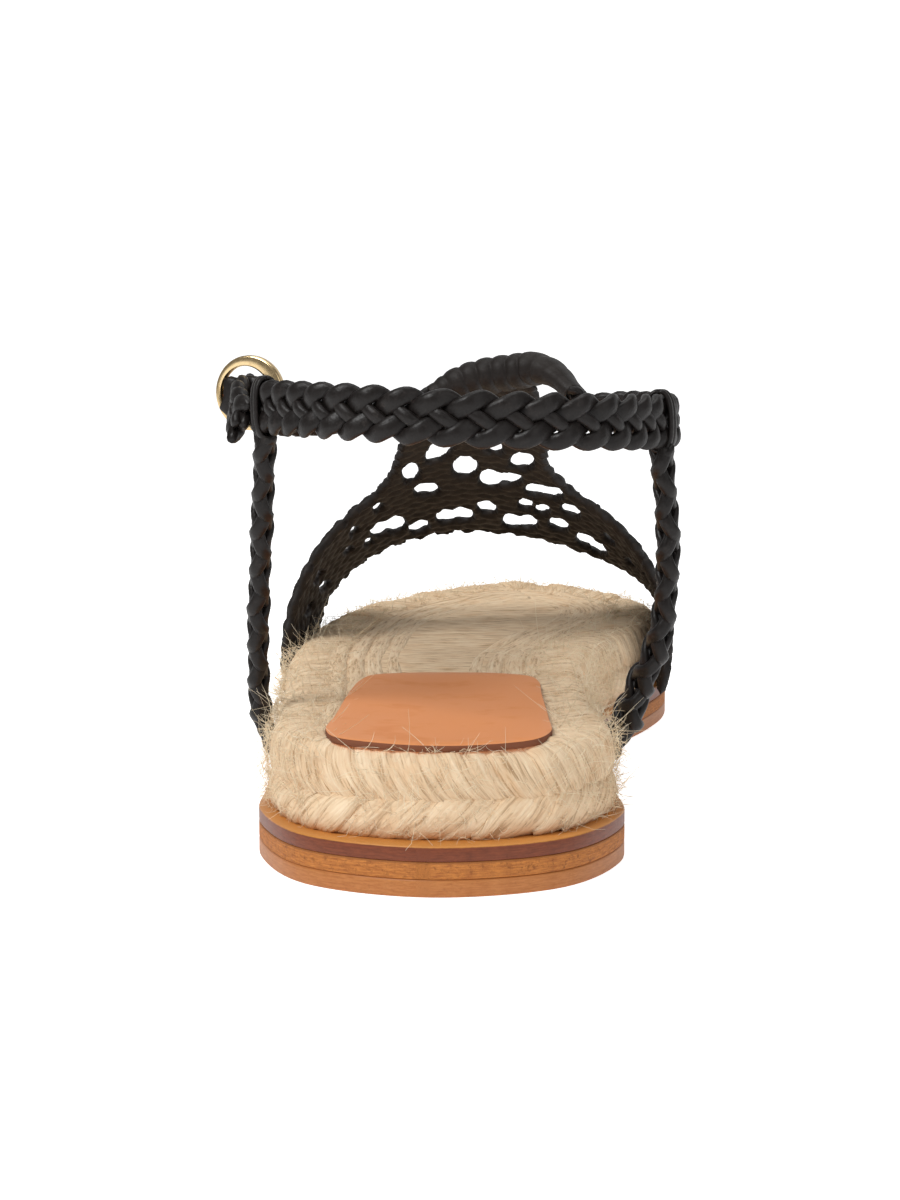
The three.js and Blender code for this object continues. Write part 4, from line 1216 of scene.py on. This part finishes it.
@dataclass
class OpenworkUpper:
    """The openwork band over the forefoot, its tongue and the fold around the ankle strap.

    The wall is laid out in plan by its way across the arch from the crown, and by the place of its line
    on the crown from the heel's back, both in millimetres.
    """

    shape: SoleShape
    line: AnkleLine
    effects: Effects
    seat: float = 22.0
    crown: float = 92.0
    crown_at: float = 96.0
    slope: float = 0.47
    radius: float = 44.0
    cell: float = 0.62
    half_wall: float = 0.8
    fold_turns: tuple[float, float] = (147.0, 194.0)
    rib_pitch: float = 3.4
    fold_squareness: float = 0.8
    edge_scallop: float = 6.6
    side_scallop: float = 4.6
    course: float = 3.6
    stitch: float = 4.4
    # Rows: place on the crown, shift of the lateral foot, of the medial foot, lateral reach, medial reach.
    arch_rows: tuple = (
        (90.0, -22.0, 14.0, 42.5, 45.3), (151.0, -12.25, 15.25, 42.9, 45.9), (171.5, -6.5, 15.25, 42.7, 46.1),
        (192.0, -0.75, 16.0, 40.9, 46.1), (215.0, 2.0, 16.0, 39.5, 45.5),
    )
    # Rows: place on the crown, half the tongue's width, its middle.
    tongue_rows: tuple = (
        (96.0, 10.6, 5.0), (118.0, 15.6, 1.6), (131.0, 17.0, 0.4), (139.0, 17.9, -0.8), (144.0, 19.4, -1.0),
        (148.0, 21.8, -1.0), (151.0, 25.0, -1.6), (154.0, 29.5, -1.6), (160.0, 36.0, -1.6),
    )
    # Rows: way across, place of the rear edge, of the front edge.
    edge_rows: tuple = (
        (-80.0, 151.0, 191.5), (-45.0, 149.5, 191.0), (-28.0, 151.2, 190.2), (0.0, 151.5, 190.8),
        (12.0, 151.5, 192.4), (22.0, 152.0, 194.8), (32.0, 152.5, 196.5), (50.0, 151.0, 195.5), (80.0, 151.0, 192.0),
    )
    # Openings: way across, place, half their length, half their width, turn of the long way from across.
    openings: tuple = (
        (4.7, 136.8, 3.9, 2.0, 84), (-7.6, 138.9, 5.4, 2.6, 108), (11.3, 142.7, 4.8, 2.1, 107),
        (-2.0, 150.0, 5.0, 2.7, 94), (-15.1, 146.8, 4.5, 1.8, 88), (3.6, 157.0, 4.6, 2.3, 96),
        (7.6, 155.8, 3.8, 2.2, 118), (-11.3, 160.3, 3.2, 1.7, 80), (-13.2, 159.6, 3.0, 1.6, 80),
        (14.0, 159.0, 3.7, 2.0, 108), (17.8, 157.0, 4.2, 2.1, 112), (11.2, 170.2, 2.6, 1.4, 98),
        (15.2, 171.0, 2.6, 1.4, 102), (1.9, 175.1, 3.2, 2.0, 87), (22.6, 164.6, 3.9, 2.1, 101),
        (-8.4, 179.6, 3.6, 2.6, 95), (-4.4, 179.4, 3.7, 2.5, 85), (7.8, 183.0, 4.0, 2.2, 96),
        (11.2, 182.2, 3.9, 2.2, 100), (19.2, 178.6, 3.8, 2.2, 98), (-26.3, 174.0, 4.4, 2.5, 86),
        (-22.4, 175.6, 4.9, 2.7, 84), (-16.4, 182.6, 3.2, 2.5, 96), (26.6, 184.0, 5.2, 2.6, 96),
        (30.0, 186.0, 5.2, 2.6, 94), (-31.0, 178.0, 1.7, 1.0, 90), (-37.0, 172.0, 1.9, 1.1, 90),
        (-33.0, 162.0, 2.0, 1.0, 90), (-25.0, 158.0, 2.0, 1.0, 90), (34.0, 170.0, 3.0, 1.6, 90),
        (42.0, 178.0, 3.4, 1.8, 90), (50.0, 168.0, 3.4, 1.8, 90), (-48.0, 164.0, 3.2, 1.6, 90),
        (-50.0, 178.0, 3.2, 1.7, 90), (-58.0, 171.0, 3.0, 1.6, 90), (58.0, 178.0, 3.2, 1.7, 90),
        (-3.6, 126.0, 4.4, 2.2, 90), (8.8, 125.0, 4.4, 2.2, 90), (2.6, 114.0, 4.4, 2.2, 90),
    )

    def surface(self, across: Array, place: Array) -> Array:
        """Points of the wall's middle at ways across and places on the crown."""
        turn = np.clip(across / self.radius, -math.pi / 2, math.pi / 2)
        lateral = across < 0
        shift = np.where(lateral, column(self.arch_rows, 1, place), column(self.arch_rows, 2, place))
        reach = np.where(lateral, column(self.arch_rows, 3, place), column(self.arch_rows, 4, place))
        y = from_heel_back(place + shift * np.abs(np.sin(turn)) ** 2.6)
        crown = self.crown - self.slope * (place - self.crown_at)
        x = reach * np.sin(turn)
        z = self.seat + (crown - self.seat) * np.cos(turn)
        down = np.maximum(np.abs(across) - self.radius * math.pi / 2, 0)
        x -= np.sign(across) * 0.012 * down**2
        return np.stack([x, y, z - down], -1)

    def outward(self, across: Array, place: Array) -> Array:
        """Directions out of the wall."""
        step = 0.5
        over = self.surface(across + step, place) - self.surface(across - step, place)
        on = self.surface(across, place + step) - self.surface(across, place - step)
        return unit(np.cross(over, on))

    def outside(self, across: Array, place: Array) -> Array:
        """How far a spot lies outside the wall in plan: negative in the leather, positive in the open."""
        scale = math.hypot(1.0, self.slope)
        wave = 1.5 * (0.6 - np.abs(np.sin(math.pi * across / self.edge_scallop)))
        rear, front = column(self.edge_rows, 1, across), column(self.edge_rows, 2, across)
        band = np.maximum(rear - place, place - front) * scale + wave
        side_wave = 1.0 * (0.6 - np.abs(np.sin(math.pi * place * scale / self.side_scallop)))
        off_middle = np.abs(across - column(self.tongue_rows, 2, place))
        tongue = off_middle - column(self.tongue_rows, 1, place) + side_wave
        start = 97.0 + 1.4 * np.maximum(3.0 - across, 0.0)
        tongue = np.maximum(tongue, np.maximum(place - 160.0, start - place))
        wall = np.minimum(band, tongue)
        hem = np.abs(across) - (self.radius * math.pi / 2 + 12.0)
        wall = np.maximum(wall, hem)
        for way, at, half_length, half_width, turn in self.openings:
            cosine, sine = math.cos(math.radians(turn)), math.sin(math.radians(turn))
            along = ((across - way) * cosine + (place - at) * sine) / (half_length + 1.0)
            aside = ((place - at) * cosine - (across - way) * sine) / (half_width + 0.12)
            wall = np.maximum(wall, (1 - np.hypot(along, aside)) * math.sqrt(half_width * half_length))
        return wall

    def relief(self, across: Array, place: Array) -> Array:
        """Rise of the crossing strips on the wall's faces, from 0 to 1."""
        row = place * math.hypot(1.0, self.slope) / self.course
        number = np.floor(row)
        off = (row - number - 0.5) * 2
        way = across / self.stitch + number * 0.5 + np.where(number % 2 == 0, 0.35, -0.35) * off
        leaf = 0.5 + 0.5 * np.cos(2 * math.pi * way)
        return np.sqrt(np.maximum(1 - off**2, 0)) * (0.5 + 0.5 * leaf**0.7)

    def build(self) -> None:
        """Builds and dresses the wall and the fold."""
        finish = StrapLeather("upper_leather", self.effects, inner=(0.024, 0.0155, 0.011), roughness=0.58)
        leather = finish.material()
        self._wall(leather)
        self._fold(leather)

    def _wall(self, leather: bpy.types.Material) -> None:
        """The band and tongue: a flat grid cut to its outline, doubled, and raised over the arch."""
        bm = empty_mesh()
        on_rim = bm.verts.layers.float.new("rim")
        low, high = (-82.0, 95.0), (82.0, 197.0)
        columns = round((high[0] - low[0]) / self.cell)
        rows = round((high[1] - low[1]) / self.cell)
        bmesh.ops.create_grid(bm, x_segments=columns, y_segments=rows, size=0.5)
        plan = np.array([vert.co[:2] for vert in bm.verts]) + 0.5
        plan = np.array(low) + plan * (np.array(high) - np.array(low))
        outside = self.outside(plan[:, 0], plan[:, 1])
        for vert, spot in zip(bm.verts, plan.tolist()):
            vert.co = (*spot, 0.0)
        gone = [vert for vert, value in zip(list(bm.verts), outside) if value > 0.3 * self.cell]
        bmesh.ops.delete(bm, geom=gone, context="VERTS")
        loose = [vert for vert in bm.verts if not vert.link_faces]
        bmesh.ops.delete(bm, geom=loose, context="VERTS")
        edge = [vert for vert in bm.verts if vert.is_boundary]
        self._snap(edge)
        for vert in edge:
            vert[on_rim] = 1.0
        doubled = bmesh.ops.duplicate(bm, geom=list(bm.verts) + list(bm.edges) + list(bm.faces))["geom"]
        inner_faces = [item for item in doubled if isinstance(item, bmesh.types.BMFace)]
        inner_verts = [item for item in doubled if isinstance(item, bmesh.types.BMVert)]
        inner = set(inner_verts)
        outer_verts = [vert for vert in bm.verts if vert not in inner]
        bmesh.ops.reverse_faces(bm, faces=inner_faces)
        self._raise(outer_verts, on_rim, bm, Sheet.OUTER)
        self._raise(inner_verts, on_rim, bm, Sheet.INNER)
        welded = [vert for vert in bm.verts if vert[on_rim] > 0.5]
        bmesh.ops.remove_doubles(bm, verts=welded, dist=1e-4)
        finish_piece(bm, "upper_openwork", leather, "upper_leather", "woven_upper")

    def _snap(self, verts: list[bmesh.types.BMVert]) -> None:
        """Moves vertices in plan onto the wall's outline."""
        for _ in range(2):
            spots = np.array([vert.co[:2] for vert in verts])
            value = self.outside(spots[:, 0], spots[:, 1])
            step = 0.05
            way, at = spots.T
            over = self.outside(way + step, at) - self.outside(way - step, at)
            on = self.outside(way, at + step) - self.outside(way, at - step)
            slope = np.stack([over, on], -1) / (2 * step)
            size = np.maximum(np.sum(slope**2, axis=1), 0.25)
            moved = np.clip(value / size, -self.cell, self.cell)[:, None] * slope
            for vert, spot in zip(verts, (spots - moved).tolist()):
                vert.co = (*spot, 0.0)

    def _raise(self, verts: list[bmesh.types.BMVert], on_rim: object, bm: bmesh.types.BMesh,
               sheet: Sheet) -> None:
        """Lifts one face of the wall from its plan onto the arch.

        Args:
            verts: the face's vertices.
            on_rim: layer that marks the outline.
            bm: their mesh.
            sheet: which face of the wall it is.
        """
        strand, tint = bm.verts.layers.float_vector["strand"], bm.verts.layers.float["tint"]
        across, place = np.array([vert.co[:2] for vert in verts]).T
        inward = np.clip(-self.outside(across, place) / 1.3, 0, 1)
        inward[[vert[on_rim] > 0.5 for vert in verts]] = 0.0
        rounded = np.sqrt(1 - (1 - inward) ** 2)
        depth = rounded * (self.half_wall - 0.3 + 0.85 * self.relief(across, place))
        points = self.surface(across, place) + self.outward(across, place) * (depth * sheet.value)[:, None]
        spots = np.stack([place, np.full(len(verts), 3.0 * sheet.value), across], -1)
        for vert, point, spot in zip(verts, points.tolist(), spots.tolist()):
            vert.co = point
            vert[strand] = spot
            vert[tint] = 1.0 if sheet is Sheet.INNER else 0.0

    def _fold(self, leather: bpy.types.Material) -> None:
        """The ribbed fold around the ankle strap, open at both ends."""
        bm = empty_mesh()
        right, left = self.fold_turns
        turns = np.linspace(right, left, 130)
        shares = np.array([self.line.share_at(float(turn)) for turn in turns])
        here = self.line.frames(shares)
        length = here.reached - here.reached[0]
        rib = np.sqrt(np.abs(np.sin(math.pi * length / self.rib_pitch)))
        fade = np.clip((turns - right - 4.0) / 12.0, 0, 1) * np.clip((left - turns) / 11.0, 0, 1) ** 0.8
        grow = 0.45 + 0.95 * fade + 0.62 * fade * rib
        thickness = 0.4 + 0.7 * fade
        rings = []
        half_strap, half_thick = self.line.width / 2 - 0.5, 1.7
        for extra in (grow, grow - thickness):
            rings.append(Rings(here.centres, here.ups, here.outs, half_strap + extra, half_thick + extra))
        outer, inner = rings
        both = Rings(
            np.vstack([outer.centres, inner.centres[::-1], outer.centres[:1]]),
            np.vstack([outer.sides, inner.sides[::-1], outer.sides[:1]]),
            np.vstack([outer.outs, inner.outs[::-1], outer.outs[:1]]),
            np.concatenate([outer.half_width, inner.half_width[::-1], outer.half_width[:1]]),
            np.concatenate([outer.half_depth, inner.half_depth[::-1], outer.half_depth[:1]]),
            self.fold_squareness,
        )
        add_tube(bm, both, 36, 5.0, 0.55)
        bmesh.ops.remove_doubles(bm, verts=bm.verts, dist=1e-3)
        bmesh.ops.recalc_face_normals(bm, faces=bm.faces)
        finish_piece(bm, "upper_fold", leather, "upper_leather", "woven_upper")


# Buckle


@dataclass
class Buckle:
    """A round ring with a bar and a prong."""

    effects: Effects
    leather: bpy.types.Material
    centre: tuple[float, float, float] = (-38.4, 18.75, 88.0)
    turn: float = 160.0
    radius: float = 7.3
    band: float = 1.25
    depth: float = 1.9
    bar_offset: float = 3.6
    leather_rise: float = 3.4

    def _placed(self, bm: bmesh.types.BMesh) -> None:
        """Turns a mesh from the ring's own plane, X across and Y through, into place."""
        turned = Matrix.Rotation(math.radians(self.turn), 3, "Z")
        bmesh.ops.rotate(bm, cent=(0, 0, 0), matrix=turned, verts=bm.verts)
        bmesh.ops.translate(bm, vec=self.centre, verts=bm.verts)

    def build(self) -> None:
        """Builds and dresses the ring with its bar, and the prong."""
        gold = GoldMetal("buckle_metal", self.effects).material()
        bm = empty_mesh()
        inner = self.radius - self.band
        section = [(inner, -self.depth / 2), (self.radius, -self.depth / 2), (self.radius, self.depth / 2),
                   (inner, self.depth / 2)]
        corners = [bm.verts.new((x, y, 0.0)) for x, y in section]
        loop = [bm.edges.new((corners[step], corners[(step + 1) % 4])) for step in range(4)]
        bmesh.ops.spin(bm, geom=corners + loop, cent=(0, 0, 0), axis=(0, 1, 0), angle=2 * math.pi, steps=72,
                       use_merge=True)
        bmesh.ops.remove_doubles(bm, verts=bm.verts, dist=1e-4)
        for vert in bm.verts:
            x, z = vert.co.x, vert.co.z
            away = math.hypot(x, z)
            wide = 0.5 + 0.5 * math.cos(math.atan2(z, -x) - 0.6)
            if away < self.radius - 0.5 * self.band:
                narrowed = (away - 1.5 * wide**2) / away
                vert.co.x *= narrowed
                vert.co.z *= narrowed
        bmesh.ops.recalc_face_normals(bm, faces=bm.faces)
        rims = [edge for edge in bm.edges if edge.calc_face_angle(0) > 1.0]
        bmesh.ops.bevel(bm, geom=rims, offset=0.42, offset_type="OFFSET", segments=3, profile=0.5,
                        affect="EDGES", material=-1)
        self._placed(bm)
        finish_piece(bm, "buckle_ring", gold, "buckle_metal", "buckle_frame")
        bar = [(-self.bar_offset, 0, height) for height in (-4.6, 0, 4.6)]
        self._rod("buckle_bar", bar, 0.7, gold, "buckle_frame")
        way = [(-self.bar_offset - 0.4, -1.3, 0), (-2.0, -1.9, 0), (1.0, -1.9, 0), (4.2, -1.75, 0),
               (self.radius - 0.6, -1.5, 0)]
        self._rod("buckle_prong_pin", way, 0.62, gold, "buckle_prong")
        self._strap_end()

    def _strap_end(self) -> None:
        """The strap's end where it is folded around the bar inside the ring."""
        bm = empty_mesh()
        across = np.linspace(-5.2, 5.2, 40)
        room = np.sqrt(np.maximum((self.radius - self.band - 0.1) ** 2 - across**2, 0.3))
        top, low = np.minimum(room, self.leather_rise), -room
        centres = np.stack([across, np.full(40, 0.35), (top + low) / 2], -1)
        fold = 1.0 + 0.22 * np.abs(np.sin(across * 1.1))
        facing = np.tile([0.0, 1.0, 0.0], (40, 1))
        add_tube(bm, rings_along(centres, facing, (top - low) / 2, fold, 0.6), 24, 9.0, 0.0)
        close_tubes(bm)
        self._placed(bm)
        finish_piece(bm, "ankle_strap_turned_end", self.leather, "braid_leather", "ankle_strap")

    def _rod(self, name: str, way: list[tuple[float, float, float]], radius: float, gold: bpy.types.Material,
             node: str) -> None:
        """A thin rod through points in the ring's own plane."""
        bm = empty_mesh()
        centres = Path(np.array(way, float)).at(np.linspace(0, 1, 24))
        facing = np.tile([0.0, 1.0, 0.0], (24, 1))
        taper = radius * np.minimum(1, 0.55 + 4 * np.minimum(np.linspace(0, 1, 24), np.linspace(1, 0, 24)))
        add_tube(bm, rings_along(centres, facing, taper, taper), 14)
        close_tubes(bm)
        self._placed(bm)
        finish_piece(bm, name, gold, "buckle_metal", node)


# Studio


@dataclass
class Studio:
    """The pale floor, the soft lights and the camera."""

    lens: float = 79.287
    eye: tuple[float, float, float] = (0.03097, -0.4939, 0.1132)
    pitch_down: float = 7.28
    yaw: float = 3.4
    # Lights: name, place, size and power.
    lights: tuple = (
        ("key", (-0.5, -0.62, 0.9), 0.5, 8.6), ("fill", (0.75, -0.65, 0.5), 0.8, 1.7),
        ("top", (0.1, 0.2, 1.1), 0.8, 3.6),
    )

    def build(self) -> None:
        """Builds the floor, the lights and the camera."""
        self._floor()
        for name, place, size, power in self.lights:
            self._light(name, place, size, power)
        self._world()
        self._camera()

    @staticmethod
    def _floor() -> None:
        """A white floor that curves up into a backdrop far behind the sandal."""
        bm = bmesh.new()
        bmesh.ops.create_grid(bm, x_segments=2, y_segments=60, size=0.5)
        for vert in bm.verts:
            reach = (vert.co.y + 0.5) * 9.0
            bend = max(0.0, reach - 5.5)
            vert.co = Vector((vert.co.x * 14, reach - 2.5 - bend * 0.85, 0.22 * bend**2))
        mesh = bpy.data.meshes.new("studio_floor")
        bm.to_mesh(mesh)
        bm.free()
        floor = bpy.data.objects.new("studio_floor", mesh)
        bpy.context.scene.collection.objects.link(floor)
        material = bpy.data.materials.new("studio_white")
        material.use_nodes = True
        shader = next(node for node in material.node_tree.nodes if node.type == "BSDF_PRINCIPLED")
        shader.inputs["Base Color"].default_value = (0.93, 0.93, 0.93, 1)
        shader.inputs["Roughness"].default_value = 0.9
        shader.inputs["Emission Color"].default_value = (1, 1, 1, 1)
        seen = wire(material.node_tree, "ShaderNodeLightPath").outputs["Is Camera Ray"]
        glow = wire(material.node_tree, "ShaderNodeMapRange", {"Value": seen, "To Min": 0.3, "To Max": 0.85})
        material.node_tree.links.new(glow.outputs[0], shader.inputs["Emission Strength"])
        mesh.materials.append(material)

    @staticmethod
    def _light(name: str, place: tuple[float, float, float], size: float, power: float) -> None:
        """A large soft light that looks at the sandal."""
        data = bpy.data.lights.new(name, "AREA")
        data.shape, data.size, data.energy = "SQUARE", size, power
        light = bpy.data.objects.new(name, data)
        light.location = place
        light.rotation_euler = (Vector((0.0, 0.06, 0.05)) - Vector(place)).to_track_quat("-Z", "Y").to_euler()
        bpy.context.scene.collection.objects.link(light)

    @staticmethod
    def _world() -> None:
        """White light from all round."""
        scene = bpy.context.scene
        scene.world = scene.world or bpy.data.worlds.new("studio_world")
        scene.world.use_nodes = True
        background = next(node for node in scene.world.node_tree.nodes if node.type == "BACKGROUND")
        background.inputs["Color"].default_value = (1, 1, 1, 1)
        background.inputs["Strength"].default_value = 0.2
        scene.view_settings.view_transform = "Standard"

    def _camera(self) -> None:
        """The photograph's camera."""
        data = bpy.data.cameras.new("camera")
        data.sensor_fit, data.sensor_height, data.lens = "VERTICAL", 36.0, self.lens
        data.clip_start = 0.01
        camera = bpy.data.objects.new("camera", data)
        camera.location = self.eye
        camera.rotation_euler = (math.radians(90 - self.pitch_down), 0.0, math.radians(self.yaw))
        bpy.context.scene.collection.objects.link(camera)
        bpy.context.scene.camera = camera


def main() -> None:
    """Builds the sandal from the floor up."""
    logging.basicConfig(level=logging.INFO, format="%(name)s %(message)s")
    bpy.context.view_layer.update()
    effects, shape, line = Effects(), SoleShape(), AnkleLine()
    leather = StrapLeather("braid_leather", effects).material()
    LeatherSole(shape, effects).build()
    JuteFootbed(shape, effects).build()
    HeelPad(effects).build()
    AnkleStrap(line, leather).build()
    lateral = ((0.3, 0.59, 0.508), (0.66, 0.735, 0.54), (0.9, 0.86, 0.545))
    medial = ((0.32, 0.645, 0.617), (0.6, 0.715, 0.598), (0.76, 0.79, 0.547), (0.93, 0.875, 0.49))
    SideStrap(Side.LATERAL, -64.0, lateral, line, shape, leather, 0.2, 0.86, 0.0).build()
    SideStrap(Side.MEDIAL, 74.0, medial, line, shape, leather, 0.4, 1.0, 0.55).build()
    OpenworkUpper(shape, line, effects).build()
    Buckle(effects, leather).build()
    Studio().build()


if __name__ == "__main__":
    main()
